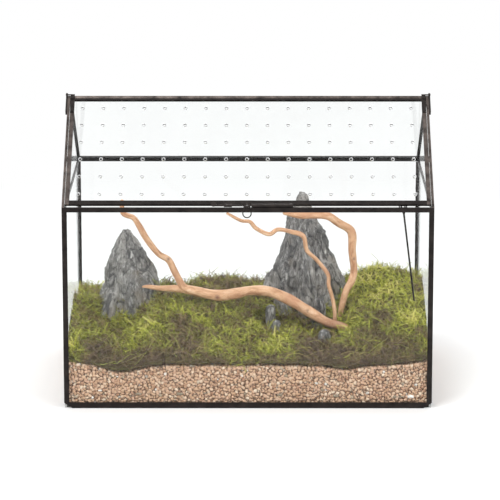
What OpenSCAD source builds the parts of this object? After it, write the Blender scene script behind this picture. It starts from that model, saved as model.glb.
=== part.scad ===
// Glass terrarium shaped like a small house, with a hinged perforated lid in its front roof slope.
// The width runs along X, the front faces -Y, and the origin is the middle of the footprint on the table.
// A landscape of gravel, moss, stones and driftwood stands inside.

/* [Tank] */
// Overall width of the tank over its corner posts
body_w = 400; // [360:5:460]
// Overall depth of the tank from front to back
body_d = 280; // [250:5:320]
// Height of the eaves, where the walls meet the roof
eave_h = 223; // [215:1:260]
// Height of the ridge
ridge_h = 320; // [305:1:345]
// Thickness of the wall and roof glass
glass_t = 2; // [1.6:0.1:3]
// Thickness of the floor glass
floor_glass_t = 3; // [2:0.1:5]

/* [Metal frame] */
// Sheet thickness of the folded metal strips
came_t = 0.8; // [0.6:0.1:1.2]
// Width of a corner post on the face that it covers
post_leg = 5.6; // [4.8:0.1:7]
// Height of the strips along the floor
floor_rail_h = 6.5; // [5:0.1:9]
// Width of the strips along the eaves
eave_strip_w = 5.1; // [4.4:0.1:6.5]
// Width of the strips on the rear roof slope beside the gables
roof_strip_w = 4.6; // [4:0.1:6]
// Cut across each bottom corner, along the width, the depth and the height
corner_snip = [8, 20, 5];

/* [Lid] */
// Thickness of the perforated lid sheet
lid_sheet_t = 1.8; // [1.2:0.1:2.4]
// Wall thickness of the channels round the lid
lid_came_t = 0.4; // [0.3:0.1:0.7]
// Width of the channels on the two sides of the lid
lid_side_w = 4.6; // [4:0.1:7]
// Width of the channel along the lower edge of the lid
lid_foot_w = 5.9; // [4.5:0.1:8]
// Width of the channel along the upper edge of the lid
lid_head_w = 3.2; // [2.8:0.1:5]
// Distance from the eave up the slope to the lid
lid_eave_gap = 5; // [4.8:0.1:7]
// Distance from the ridge down the slope to the lid
lid_ridge_gap = 3.8; // [3.6:0.1:5]
// Gap between the lid and each gable
lid_side_gap = 0.4; // [0.3:0.1:1]
// Diameter of an air hole
vent_d = 4; // [2.5:0.1:5]
// Number of air holes along the width
vent_columns = 17; // [9:1:17]
// Number of rows of air holes
vent_rows = 6; // [3:1:6]
// Distance between air holes along the width
vent_pitch_x = 22.7; // [18:0.1:23]
// Distance between rows of air holes along the slope
vent_pitch_y = 26.1; // [20:0.1:27]

/* [Hinges] */
// Radius of the hinge pins
pin_r = 0.75; // [0.6:0.05:1]
// Outer radius of the hinge eyes
eye_r = 2; // [1.8:0.1:3]
// Thickness of the hinge brackets on the gables
bracket_t = 2; // [1.5:0.1:3]
// Length of a hinge bracket down the slope
bracket_len = 24; // [15:1:40]

/* [Latch and ring] */
// Radius of the latch bolt
bolt_r = 0.9; // [0.7:0.05:1.1]
// Travel of the latch bolt
bolt_travel = 7; // [5:0.5:8]
// Length of the keeper tube on the front eave
keeper_len = 45; // [20:1:60]
// Wall thickness of the sleeve and the keeper tube
tube_wall = 0.85; // [0.6:0.05:1]
// Radius of the latch knob
knob_r = 3; // [2.5:0.1:3.5]
// Wire radius of the pull ring
ring_wire_r = 0.6; // [0.5:0.05:0.7]
// Radius of the rounded end of the pull ring
ring_r = 4.45; // [4:0.05:6]
// Height of the pull ring from its pivot to its lowest centre line
ring_drop = 11.8; // [10:0.1:16]

/* [Stay] */
// Distance of the stay from the right side of the tank
stay_inset = 33.4; // [30:0.1:80]
// Length of the stay from its pivot to its tip
stay_len = 106; // [80:1:120]
// Sideways lean of the stay in degrees
stay_lean = 7.2; // [0:0.1:8]
// Wire radius of the stay
stay_r = 1; // [0.7:0.05:1.2]

/* [Landscape] */
// Depth of the gravel at the front glass
gravel_h = 45; // [30:1:50]
// Rise of the gravel from the front to the back
gravel_rise = 22; // [0:1:30]
// Radius of the main driftwood branch
branch_r = 5.4; // [3.5:0.1:6]

/* [Hidden] */

frame_colour = "#4a4644";
glass_colour = [0.84, 0.92, 0.92, 0.3];
sheet_colour = [0.92, 0.95, 0.95, 0.35];
gravel_colour = "#cda98a";
stone_colour = "#77797b";
wood_colour = "#d9ac80";
moss_colour = "#7d8436";

// Clearances: between glass edges and metal, round a turning pin, and between parts that pass each other
glass_fit = 0.1;
pin_fit = 0.05;
bolt_fit = 0.08;
pass_gap = 0.3;
eps = 1;

half_w = body_w / 2;
half_d = body_d / 2;
roof_rise = ridge_h - eave_h;
roof_angle = atan(roof_rise / half_d);
slope_len = norm([half_d, roof_rise]);
// Width of a strip that only covers the edge of a pane
edge_leg = came_t + glass_t;
// Inner faces of the walls, and the top of the floor glass
inner_x = half_w - edge_leg;
inner_y = half_d - edge_leg;
floor_z = came_t + floor_glass_t;
// Top of a post, and top of the front and back panes
post_top = eave_h - eave_strip_w;
pane_top = eave_h - came_t;

// The lid lies in the front slope, between the gable rails
lid_t = lid_sheet_t + 2 * lid_came_t;
lid_half_w = inner_x - lid_side_gap;
lid_y0 = lid_eave_gap;
lid_y1 = slope_len - lid_ridge_gap;
lid_web = 0.8;
// Sideways place of the grid of air holes, and its first row below the ridge
vent_x0 = -1.2;
vent_first = 18.6;

// Hinge axis: just above the ridge, with the pin clear of the frame below it
hinge_rise = pin_r + pass_gap + 0.1;
strap_len = 22;
strap_w = lid_side_w - 0.2;
strap_t = 1;
strap_lift = pass_gap + 0.1;
pin_end = 0.4;

// Latch axis: the keeper stands on the front eave rail, clear of the lid's lower edge
keeper_r = bolt_r + bolt_fit + tube_wall + 0.07;
sleeve_r = bolt_r + bolt_fit + tube_wall - 0.23;
saddle_h = 0.1;
latch_rise = keeper_r + saddle_h;
latch_s = lid_eave_gap - keeper_r - pass_gap;
latch_in = (latch_s - latch_rise * sin(roof_angle)) / cos(roof_angle);
latch_n = latch_rise * cos(roof_angle) - latch_in * sin(roof_angle);
latch_y = -half_d + latch_in;
latch_z = eave_h + latch_rise;
keeper_x = 3.6;
bolt_tip_x = 3;
sleeve_x = [-25.8, -17.2];
knob_x = sleeve_x[0] - bolt_travel - knob_r - 1;
knob_lift = 1.5;
knob_h = 1.5;

// Pull ring: it hangs from its lug just in front of the front eave rail
ring_x = -1;
ring_gap = 0.95;
ring_pin_r = ring_wire_r + 0.05;
ring_y = -half_d - ring_gap - ring_pin_r;
ring_z = eave_h + 1.4;
ring_top_half = ring_r - 1.25;
lug_w = 2.4;
lug_plate_w = 15;
lug_plate_len = 5.3;
lug_plate_t = 0.8;
lug_boss_r = 1.3;

// Stay: its two ears reach back from the front eave rail to the pivot under the lid
stay_pin_r = 0.8;
stay_in = 9;
stay_x = half_w - stay_inset;
stay_y = -half_d + stay_in;
ear_half = 3.8;
ear_t = 1;
ear_r = 1.4;
ear_arm = [1, 2];
// The ears stay this far below the closed lid
ear_gap = 0.632;
stay_z = eave_h + (stay_in * sin(roof_angle) - lid_t - ear_r - ear_gap) / cos(roof_angle);
stay_loop_half = 2.2;
stay_loop_drop = 11.5;
stay_loop_r = 0.75;

// Landscape: the gravel, moss, stones and wood fill the inside of the walls
wall_gap = 0.3;
bed_x = inner_x - wall_gap;
bed_y = inner_y - wall_gap;
bed_columns = 30;
bed_rows = 14;
// Half width, half depth and eave height for which the landscape is laid out
layout_x = 197;
layout_y = 137;
layout_z = 223;
roots_z = floor_z + 14;
// Size of the moss cells, and the bare rim of gravel in front of the moss
moss_cell = 5.6;
moss_rim = 3;

module along_x(x0, len) {
  translate([x0, 0, 0]) rotate([90, 0, 90]) linear_extrude(len) children();
}
module rod_x(x0, x1, y, z, r) {
  translate([x0, y, z]) rotate([0, 90, 0]) cylinder(r = r, h = x1 - x0, $fn = 48);
}
module rod_between(a, b, r) {
  d = b - a;
  translate(a) rotate([0, acos(d[2] / norm(d)), atan2(d[1], d[0])]) cylinder(r = r, h = norm(d), $fn = 48);
}
module span(lo, hi) {
  translate(lo) cube(hi - lo);
}
// Front roof slope: y runs up the slope from the eave, z points outwards
module on_front_roof() {
  translate([0, -half_d, eave_h]) rotate([roof_angle, 0, 0]) children();
}
module on_rear_roof() {
  mirror([0, 1, 0]) on_front_roof() children();
}
// The same slope measured from the ridge, where y is negative down the slope
module at_front_ridge() {
  translate([0, 0, ridge_h]) rotate([roof_angle, 0, 0]) children();
}
module right_side() {
  mirror([1, 0, 0]) children();
}

// Floor strips, cut off at the bottom corners
module corner_snips() {
  reach = 1 + eps / corner_snip[0] + eps / corner_snip[1] + eps / corner_snip[2];
  for (sx = [-1, 1], sy = [-1, 1])
    scale([1, 1, 1]) mirror([sx > 0 ? 1 : 0, 0, 0]) mirror([0, sy > 0 ? 1 : 0, 0])
      translate([-half_w, -half_d, 0]) polyhedron(
        points = [
          [-eps, -eps, -eps],
          [corner_snip[0] * reach, -eps, -eps],
          [-eps, corner_snip[1] * reach, -eps],
          [-eps, -eps, corner_snip[2] * reach]
        ],
        faces = [[0, 1, 2], [0, 3, 1], [0, 2, 3], [1, 3, 2]]
      );
}
module floor_strip_front() {
  span([-half_w, -half_d, 0], [half_w, -half_d + came_t, floor_rail_h]);
  span([-half_w, -half_d, 0], [half_w, -half_d + post_leg, came_t]);
}
module floor_strip_left() {
  span([-half_w, -half_d + came_t, came_t], [-half_w + came_t, half_d - came_t, floor_rail_h]);
  span([-half_w, -half_d + post_leg, 0], [-half_w + post_leg, half_d - post_leg, came_t]);
}
module base_front_rail() {
  color(frame_colour) difference() {
    floor_strip_front();
    corner_snips();
  }
}
module base_back_rail() {
  mirror([0, 1, 0]) base_front_rail();
}
module base_left_rail() {
  color(frame_colour) difference() {
    floor_strip_left();
    corner_snips();
  }
}
module base_right_rail() {
  right_side() base_left_rail();
}

// Corner posts: folded strips with one leg on each wall
module front_left_post() {
  color(frame_colour) {
    span([-half_w, -half_d, floor_rail_h], [-half_w + post_leg, -half_d + came_t, post_top]);
    span([-half_w, -half_d, floor_rail_h], [-half_w + came_t, -half_d + post_leg, post_top]);
  }
}
module front_right_post() {
  right_side() front_left_post();
}
module back_left_post() {
  color(frame_colour) {
    span([-half_w, half_d - came_t, floor_rail_h], [-half_w + edge_leg, half_d, post_top]);
    span([-half_w, half_d - post_leg, floor_rail_h], [-half_w + came_t, half_d, post_top]);
  }
}
module back_right_post() {
  right_side() back_left_post();
}

// Eave strips
module front_eave_rail() {
  color(frame_colour) {
    span([-half_w, -half_d, post_top], [half_w, -half_d + came_t, eave_h]);
    span([-half_w, -half_d, pane_top], [half_w, -half_d + edge_leg, eave_h]);
  }
}
module back_eave_rail() {
  c = cos(roof_angle);
  t = tan(roof_angle);
  // Where the inner faces of the two flanges meet
  inner = [came_t, came_t * t - came_t / c];
  flange = [eave_strip_w * c, eave_strip_w * sin(roof_angle)];
  color(frame_colour) mirror([0, 1, 0]) along_x(-half_w, body_w) translate([-half_d, eave_h]) polygon([
    [0, -eave_strip_w],
    [came_t, -eave_strip_w],
    inner,
    [flange[0] + came_t * sin(roof_angle), flange[1] - came_t * c],
    flange,
    [0, 0]
  ]);
}
web_z = eave_h - eave_strip_w / 2;
module left_eave_rail() {
  web_half = came_t / 2;
  color(frame_colour) difference() {
    union() {
      span([-half_w, -half_d + came_t, post_top], [-half_w + came_t, half_d - came_t, eave_h]);
      span([-half_w + came_t, -inner_y, web_z - web_half], [-inner_x, inner_y, web_z + web_half]);
      span([-inner_x, -inner_y, post_top], [-inner_x + came_t, inner_y, pane_top]);
    }
    front_eave_rail();
    on_rear_roof() span([-half_w - eps, -eps, -edge_leg - glass_fit], [half_w, eave_strip_w * 3, eps]);
  }
}
module right_eave_rail() {
  right_side() left_eave_rail();
}

// Gable strips: the front pair covers only the gable pane's edge, the rear pair also holds the roof pane
module above_eave(y0, y1) {
  span([-half_w - eps, y0, eave_h], [half_w + eps, y1, ridge_h + eps]);
}
module front_left_gable_rail() {
  color(frame_colour) intersection() {
    on_front_roof() {
      span([-half_w, -post_leg, -post_leg], [-half_w + came_t, slope_len + post_leg, 0]);
      span([-half_w, -post_leg, -came_t], [-half_w + edge_leg, slope_len + post_leg, 0]);
    }
    above_eave(-half_d, 0);
  }
}
module front_right_gable_rail() {
  right_side() front_left_gable_rail();
}
module rear_left_gable_rail() {
  color(frame_colour) difference() {
    intersection() {
      on_rear_roof() {
        span([-half_w, -post_leg, -post_leg], [-half_w + came_t, slope_len + post_leg, 0]);
        span([-half_w, -post_leg, -came_t], [-half_w + roof_strip_w, slope_len + post_leg, 0]);
      }
      above_eave(0, half_d);
    }
    on_rear_roof() span([-half_w - eps, -eps, -came_t], [half_w, eave_strip_w, eps]);
  }
}
module rear_right_gable_rail() {
  right_side() rear_left_gable_rail();
}
module ridge_rail() {
  ridge_half = half_w - roof_strip_w;
  color(frame_colour) on_rear_roof() {
    span([-ridge_half, slope_len - post_leg, -came_t], [ridge_half, slope_len, 0]);
    span([-ridge_half, slope_len - came_t, -edge_leg - 0.2], [ridge_half, slope_len, 0]);
  }
}

// Panes
module floor_glass() {
  x = inner_x - glass_fit;
  y = inner_y - glass_fit;
  color(glass_colour) span([-x, -y, came_t], [x, y, floor_z]);
}
module front_glass() {
  x = half_w - came_t;
  color(glass_colour) span([-x, -half_d + came_t, came_t], [x, -inner_y, pane_top]);
}
module back_glass() {
  mirror([0, 1, 0]) front_glass();
}
module left_glass() {
  y = inner_y - glass_fit;
  color(glass_colour) span([-half_w + came_t, -y, came_t], [-inner_x, y, web_z - came_t / 2]);
}
module right_glass() {
  right_side() left_glass();
}
module left_gable_glass() {
  y = inner_y - glass_fit;
  front_drop = (came_t + glass_fit) / cos(roof_angle);
  rear_drop = (edge_leg + glass_fit) / cos(roof_angle);
  apex_y = (front_drop - rear_drop) / (2 * tan(roof_angle));
  side_rise = (half_d - y) * tan(roof_angle);
  color(glass_colour) along_x(-half_w + came_t, glass_t) polygon([
    [-y, web_z + came_t / 2],
    [y, web_z + came_t / 2],
    [y, eave_h + side_rise - rear_drop],
    [apex_y, ridge_h + apex_y * tan(roof_angle) - front_drop],
    [-y, eave_h + side_rise - front_drop]
  ]);
}
module right_gable_glass() {
  right_side() left_gable_glass();
}
module rear_roof_glass() {
  x = half_w - came_t - glass_fit;
  foot = 2;
  color(glass_colour) on_rear_roof() span([-x, foot, -edge_leg], [x, slope_len - came_t - glass_fit, -came_t]);
}

// Lid: four channels round a perforated sheet
module channel_y(x0, width, y0, y1) {
  difference() {
    span([x0, y0, -lid_t], [x0 + width, y1, 0]);
    span([x0 + lid_web, y0 - eps, -lid_t + lid_came_t], [x0 + width + eps, y1 + eps, -lid_came_t]);
  }
}
module channel_x(y0, width, groove_up) {
  x = lid_half_w - lid_side_w;
  g0 = groove_up ? y0 + lid_web : y0 - eps;
  g1 = groove_up ? y0 + width + eps : y0 + width - lid_web;
  difference() {
    span([-x, y0, -lid_t], [x, y0 + width, 0]);
    span([-x - eps, g0, -lid_t + lid_came_t], [x + eps, g1, -lid_came_t]);
  }
}
module lid_left_rail() {
  color(frame_colour) on_front_roof() channel_y(-lid_half_w, lid_side_w, lid_y0, lid_y1);
}
module lid_right_rail() {
  right_side() lid_left_rail();
}
module lid_foot_rail() {
  color(frame_colour) on_front_roof() channel_x(lid_y0, lid_foot_w, true);
}
module lid_head_rail() {
  color(frame_colour) on_front_roof() channel_x(lid_y1 - lid_head_w, lid_head_w, false);
}
module lid_sheet() {
  x = lid_half_w - lid_web - glass_fit;
  y0 = lid_y0 + lid_web + glass_fit;
  y1 = lid_y1 - lid_web - glass_fit;
  color(sheet_colour) on_front_roof() difference() {
    span([-x, y0, -lid_t + lid_came_t], [x, y1, -lid_came_t]);
    for (column = [0 : vent_columns - 1], row = [0 : vent_rows - 1])
      translate([
        vent_x0 + (column - (vent_columns - 1) / 2) * vent_pitch_x,
        slope_len - vent_first - row * vent_pitch_y,
        -lid_t
      ]) cylinder(d = vent_d, h = lid_t, $fn = 32);
  }
}

// Hinges: an eye on each gable, and a pin on a strap that is soldered to the lid
module left_hinge_bracket() {
  x0 = -half_w - bracket_t;
  eye_z = ridge_h + hinge_rise;
  color(frame_colour) difference() {
    along_x(x0, bracket_t) {
      translate([0, ridge_h]) rotate(roof_angle) translate([-bracket_len, -post_leg])
        square([bracket_len, post_leg]);
      translate([0, eye_z]) circle(r = eye_r, $fn = 48);
      translate([-eye_r * 0.8, ridge_h - eye_r * 2]) square([eye_r * 1.6, eye_r * 2 + hinge_rise]);
    }
    rod_x(x0 - eps, -half_w + eps, 0, eye_z, pin_r + pin_fit);
  }
}
module right_hinge_bracket() {
  right_side() left_hinge_bracket();
}
module left_hinge_strap() {
  x0 = -lid_half_w + 0.1;
  y_axis = hinge_rise * sin(roof_angle);
  color(frame_colour) {
    at_front_ridge() {
      span([x0, -lid_ridge_gap - strap_len, 0], [x0 + strap_w, -lid_ridge_gap, strap_t]);
      span([x0, -lid_ridge_gap - 2, strap_lift], [x0 + strap_w, y_axis, strap_lift + strap_t]);
    }
    rod_x(-half_w - bracket_t - pin_end, x0 + strap_w, 0, ridge_h + hinge_rise, pin_r);
  }
}
module right_hinge_strap() {
  right_side() left_hinge_strap();
}

// Latch: a bolt slides in a sleeve on the lid into a keeper tube on the front eave
module latch_web(x0, x1) {
  wall = bolt_r + bolt_fit + 0.2;
  on_front_roof() span([x0, latch_s + wall, latch_n - bolt_r], [x1, lid_eave_gap, latch_n + bolt_r]);
}
module latch_sleeve() {
  color(frame_colour) difference() {
    union() {
      rod_x(sleeve_x[0], sleeve_x[1], latch_y, latch_z, sleeve_r);
      latch_web(sleeve_x[0] + 0.5, sleeve_x[1] - 0.5);
    }
    rod_x(sleeve_x[0] - eps, sleeve_x[1] + eps, latch_y, latch_z, bolt_r + bolt_fit);
  }
}
module latch_keeper() {
  color(frame_colour) difference() {
    union() {
      rod_x(keeper_x, keeper_x + keeper_len, latch_y, latch_z, keeper_r);
      span([keeper_x, latch_y - bolt_r, eave_h], [keeper_x + keeper_len, latch_y + bolt_r * 0.7, latch_z]);
    }
    rod_x(keeper_x - eps, keeper_x + keeper_len + eps, latch_y, latch_z, bolt_r + bolt_fit);
  }
}
module latch_bolt() {
  color(frame_colour) {
    rod_x(knob_x - bolt_r, bolt_tip_x, latch_y, latch_z, bolt_r);
    on_front_roof() translate([knob_x, latch_s, latch_n]) {
      cylinder(r = bolt_r + 0.3, h = knob_lift + knob_h / 2, $fn = 48);
      translate([0, 0, knob_lift]) cylinder(r = knob_r, h = knob_h, $fn = 48);
    }
  }
}
module ring_lug() {
  x0 = ring_x - lug_w / 2;
  x1 = ring_x + lug_w / 2;
  reach = [latch_y - ring_y, latch_z - ring_z];
  color(frame_colour) difference() {
    union() {
      on_front_roof() span([ring_x - lug_plate_w / 2, lid_eave_gap, 0],
        [ring_x + lug_plate_w / 2, lid_eave_gap + lug_plate_len, lug_plate_t]);
      latch_web(x0, x1);
      rod_x(x0, x1, latch_y, latch_z, sleeve_r);
      rod_x(x0, x1, ring_y, ring_z, lug_boss_r);
      translate([x0, ring_y, ring_z]) rotate([atan2(reach[1], reach[0]), 0, 0])
        translate([0, 0, -lug_boss_r * 0.8]) cube([lug_w, norm(reach), lug_boss_r * 1.6]);
      on_front_roof() span([x0, latch_s, 0], [x1, lid_eave_gap + 1, lug_plate_t]);
    }
    rod_x(x0 - eps, x1 + eps, latch_y, latch_z, bolt_r + bolt_fit);
    rod_x(x0 - eps, x1 + eps, ring_y, ring_z, ring_pin_r + bolt_fit);
  }
}
module pull_ring() {
  arc_z = ring_z - ring_drop + ring_r;
  reach = [ring_top_half, ring_z - arc_z];
  // The legs leave the rounded end along its tangents, and start a little way inside it
  rise = atan2(reach[1], reach[0]) - acos(ring_r / norm(reach));
  back = 0.3;
  color(frame_colour) {
    translate([ring_x, ring_y, arc_z]) rotate([90, 0, 0]) rotate([0, 0, 180 - rise])
      rotate_extrude(angle = 180 + 2 * rise, $fn = 64) translate([ring_r, 0]) circle(r = ring_wire_r, $fn = 32);
    for (side = [-1, 1])
      rod_between(
        [
          ring_x + side * (ring_r * cos(rise) + back * sin(rise)),
          ring_y,
          arc_z + ring_r * sin(rise) - back * cos(rise)
        ],
        [ring_x + side * ring_top_half, ring_y, ring_z],
        ring_wire_r - 0.02
      );
    rod_x(ring_x - ring_top_half - ring_wire_r, ring_x + ring_top_half + ring_wire_r, ring_y, ring_z, ring_pin_r);
  }
}

// Stay: a wire rod with a three-cornered loop that swings between two ears
module stay_bracket() {
  y0 = -inner_y;
  color(frame_colour) difference() {
    union() {
      span([stay_x - ear_half - ear_t, y0, eave_h - 3.2], [stay_x + ear_half + ear_t, y0 + came_t, eave_h]);
      for (side = [-1, 1]) {
        x0 = stay_x + side * ear_half - ear_t / 2;
        span([x0, y0, eave_h - ear_arm[1] - 0.4], [x0 + ear_t, stay_y + ear_r, eave_h - 0.4]);
        span([x0, stay_y - ear_r, eave_h - ear_arm[0]], [x0 + ear_t, stay_y + ear_r, stay_z]);
        rod_x(x0, x0 + ear_t, stay_y, stay_z, ear_r);
      }
    }
    rod_x(stay_x - 2 * ear_half, stay_x + 2 * ear_half, stay_y, stay_z, stay_pin_r + pin_fit);
  }
}
function stay_point(drop, across = 0) = [stay_x + drop * sin(stay_lean) + across, stay_y, stay_z - drop * cos(stay_lean)];
module stay_rod() {
  pin_half = ear_half + ear_t / 2;
  apex = stay_point(stay_loop_drop);
  color(frame_colour) {
    rod_x(stay_x - pin_half, stay_x + pin_half, stay_y, stay_z, stay_pin_r);
    rod_between(stay_point(0, -stay_loop_half), apex, stay_loop_r);
    rod_between(stay_point(0, stay_loop_half), apex, stay_loop_r);
    rod_between(apex, stay_point(stay_len), stay_r);
    translate(apex) sphere(r = stay_r + 0.2, $fn = 32);
  }
}

// Gravel: level behind the glass, with two dips at the front, rising towards the back
function dip(x, centre, width, depth) = depth * exp(-pow((x - centre) / width, 2));
function smooth(t) = let(u = min(max(t, 0), 1)) u * u * (3 - 2 * u);
function gravel_z(x, y) = let(u = x * layout_x / bed_x)
  floor_z - 3 + gravel_h - dip(u, -139, 24, 9) - dip(u, 106, 22, 5) + 5 * pow(u / layout_x, 8)
  + gravel_rise * smooth((y / bed_y + 1) / 1.5);
// A solid with a flat bottom, whose top is given on a grid from one corner to the other
function grid_points(lo, hi, columns, rows) = [
  for (j = [0 : rows], i = [0 : columns])
    [lo[0] + (hi[0] - lo[0]) * i / columns, lo[1] + (hi[1] - lo[1]) * j / rows]
];
module field(lo, hi, columns, rows, tops) {
  nx = columns + 1;
  ny = rows + 1;
  count = nx * ny;
  corners = [for (p = [lo, [hi[0], lo[1]], hi, [lo[0], hi[1]]]) [p[0], p[1], floor_z]];
  polyhedron(points = concat(tops, corners), faces = concat(
    [for (j = [0 : rows - 1], i = [0 : columns - 1]) [j * nx + i, (j + 1) * nx + i, j * nx + i + 1]],
    [for (j = [0 : rows - 1], i = [0 : columns - 1]) [j * nx + i + 1, (j + 1) * nx + i, (j + 1) * nx + i + 1]],
    [[count, count + 1, count + 2], [count, count + 2, count + 3]],
    [for (i = [0 : columns - 1]) [count, i, i + 1]],
    [[count, columns, count + 1]],
    [for (i = [0 : columns - 1]) [count + 2, ny * nx - 1 - i, ny * nx - 2 - i]],
    [[count + 2, (ny - 1) * nx, count + 3]],
    [for (j = [0 : rows - 1]) [count + 1, j * nx + columns, (j + 1) * nx + columns]],
    [[count + 1, ny * nx - 1, count + 2]],
    [for (j = [0 : rows - 1]) [count + 3, (j + 1) * nx, j * nx]],
    [[count + 3, 0, count]]
  ));
}
module gravel_bed() {
  lo = [-bed_x, -bed_y];
  hi = [bed_x, bed_y];
  tops = [for (p = grid_points(lo, hi, bed_columns, bed_rows)) [p[0], p[1], gravel_z(p[0], p[1])]];
  color(gravel_colour) field(lo, hi, bed_columns, bed_rows, tops);
}

// Everything planted stays inside the walls and under the roof
function place(p) = [p[0] * bed_x / layout_x, p[1] * bed_y / layout_y, p[2] * eave_h / layout_z];
module inside_tank(x0 = -1000, x1 = 1000, y0 = -1000, y1 = 1000) {
  lo = [max(-bed_x, x0 * bed_x / layout_x), max(-bed_y, y0 * bed_y / layout_y)];
  hi = [min(bed_x, x1 * bed_x / layout_x), min(bed_y, y1 * bed_y / layout_y)];
  span([lo[0], lo[1], floor_z], [hi[0], hi[1], eave_h + roof_rise / 2]);
}

// Stones: each is a stack of slices, given by their height and their reach along the width and the depth
function slice_outline(turn) = [
  for (k = [0 : 8]) (0.95 + 0.05 * sin(turn + k * 137)) * [cos(k * 40 + turn), sin(k * 40 + turn)]
];
module slice(s, turn) {
  lo = place([s[1], s[3], s[0]]);
  hi = place([s[2], s[4], s[0]]);
  translate((lo + hi) / 2) scale([(hi[0] - lo[0]) / 2, (hi[1] - lo[1]) / 2, 1])
    linear_extrude(0.6) polygon(slice_outline(turn));
}
module rock(slices, turn) {
  for (i = [0 : len(slices) - 2])
    hull() {
      slice(slices[i], turn + i * 31);
      slice(slices[i + 1], turn + (i + 1) * 31);
    }
}
// A slab leans against a stone, from its foot to its top
module slab(foot, foot_r, top, top_r, turn) {
  hull() {
    translate([place(foot)[0], place(foot)[1], roots_z]) rotate(turn) cylinder(r = foot_r, h = 1, $fn = 7);
    translate(place((foot + top) / 2 + [0, 0, top[2] * 0.1])) rotate(turn * 2)
      cylinder(r = (foot_r + top_r) * 0.53, h = 6, $fn = 6);
    translate(place(top) - [0, 0, 3]) rotate(turn * 3) cylinder(r1 = top_r, r2 = top_r * 0.6, h = 3, $fn = 5);
  }
}
module boulder(centre, size, turn) {
  c = place(centre);
  hull() {
    translate(c) rotate(turn) scale(size) sphere(r = 1, $fn = 9);
    translate([c[0], c[1], roots_z]) cylinder(r = size[0] * 0.7, h = 1, $fn = 7);
  }
}
left_slices = [
  [20, -188, -88, -18, 50], [64, -192, -90, -16, 48], [72, -182, -93, -14, 46], [86, -172, -96, -11, 44],
  [103, -164, -100, -8, 42], [116, -163, -105, -5, 40], [128, -161, -110, -2, 38], [145, -152, -120, 4, 34],
  [157, -147, -129, 10, 30], [165.4, -142, -135, 15, 26]
];
right_slices = [
  [20, 12, 116, -24, 54], [90, 15, 115, -20, 52], [106, 19, 113, -17, 49], [122, 24, 102, -14, 46],
  [139, 34, 93, -10, 44], [154, 38, 89, -6, 42], [165, 39, 85, -3, 40], [179, 41, 77, 2, 36],
  [197, 52, 71, 9, 30], [204.4, 57, 67, 13, 27]
];
module left_stone_rough() {
  rock(left_slices, 12);
  slab([-128, -10, 20], 15, [-131, 0, 128], 6, 10);
  slab([-106, -12, 20], 13, [-112, -3, 104], 6, 40);
  slab([-162, -12, 20], 14, [-154, -4, 98], 6, 25);
}
module right_stone_rough() {
  rock(right_slices, 48);
  slab([66, -16, 20], 17, [62, -6, 158], 7, 15);
  slab([38, -18, 20], 14, [42, -8, 122], 6, 35);
  slab([92, -12, 20], 13, [88, -6, 132], 6, 60);
}
module small_stones_rough() {
  boulder([79, -33, 90], [9.5, 8.5, 10], 20);
  boulder([25, -46, 86], [6.5, 6, 7.5], 50);
  boulder([31, -63, 74], [5.5, 5.5, 7], 10);
  boulder([84, -69, 61], [8, 7, 8.5], 70);
}
module left_stone() {
  color(stone_colour) difference() {
    intersection() {
      left_stone_rough();
      inside_tank();
    }
    gravel_bed();
  }
}
module right_stone() {
  color(stone_colour) difference() {
    intersection() {
      right_stone_rough();
      inside_tank();
    }
    gravel_bed();
  }
}
module small_stones() {
  color(stone_colour) difference() {
    intersection() {
      small_stones_rough();
      inside_tank();
    }
    gravel_bed();
    left_stone_rough();
    right_stone_rough();
  }
}

// Driftwood: branches that follow hand-placed points, each with its own radius
branch_path = [
  [-116, -45, 113, 1], [-92, -45, 111, 1.05], [-64, -48, 110, 1], [-36, -52, 105, 1.15], [-15, -52, 107, 1],
  [2, -50, 110, 0.95], [23, -50, 109, 0.95], [44, -52, 101, 0.9], [65, -56, 89, 0.85], [86, -60, 77, 0.8],
  [103, -62, 75, 0.75], [118, -60, 68, 0.6]
];
fork_path = [
  [-70, -47, 110, 0.8], [-81, -50, 131, 0.7], [-88, -52, 145, 0.66], [-99, -55, 153, 0.64], [-111, -60, 170, 0.62],
  [-120, -64, 187, 0.6], [-126, -66, 196, 0.58], [-137, -70, 202, 0.52], [-138, -72, 216, 0.4]
];
twig_path = [
  [-23, -75, 203, 0.25], [-8, -70, 194, 0.35], [2, -68, 192, 0.4], [9, -66, 184, 0.42], [23, -64, 177, 0.45],
  [33, -62, 182, 0.45], [48, -60, 179, 0.45], [61, -60, 174, 0.46], [65, -60, 158, 0.44], [76, -60, 147, 0.44],
  [88, -60, 131, 0.42], [89, -60, 119, 0.42], [93, -60, 105, 0.42], [96, -60, 89, 0.42], [96, -61, 76, 0.4]
];
arch_path = [
  [40, -35, 195, 0.5], [59, -35, 192, 0.7], [86, -30, 191, 0.78], [101, -25, 181, 0.85], [115, -20, 170, 0.85],
  [116, -20, 149, 0.8], [117, -20, 139, 0.8], [118, -20, 124, 0.78], [115, -25, 114, 0.75], [109, -30, 104, 0.7],
  [104, -34, 84, 0.6], [102, -36, 66, 0.5]
];
module branch(path) {
  for (i = [0 : len(path) - 2])
    hull() {
      translate(place(path[i])) sphere(r = path[i][3] * branch_r, $fn = 8);
      translate(place(path[i + 1])) sphere(r = path[i + 1][3] * branch_r, $fn = 8);
    }
}
module stones_and_gravel() {
  gravel_bed();
  left_stone_rough();
  right_stone_rough();
  small_stones_rough();
}
module branch_rough() {
  branch(branch_path);
  branch(fork_path);
}
module driftwood_branch() {
  color(wood_colour) difference() {
    intersection() {
      branch_rough();
      inside_tank();
    }
    stones_and_gravel();
  }
}
module driftwood_twig() {
  color(wood_colour) difference() {
    branch(twig_path);
    stones_and_gravel();
    branch_rough();
  }
}
module driftwood_arch() {
  color(wood_colour) difference() {
    branch(arch_path);
    stones_and_gravel();
    branch_rough();
    branch(twig_path);
  }
}

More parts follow.
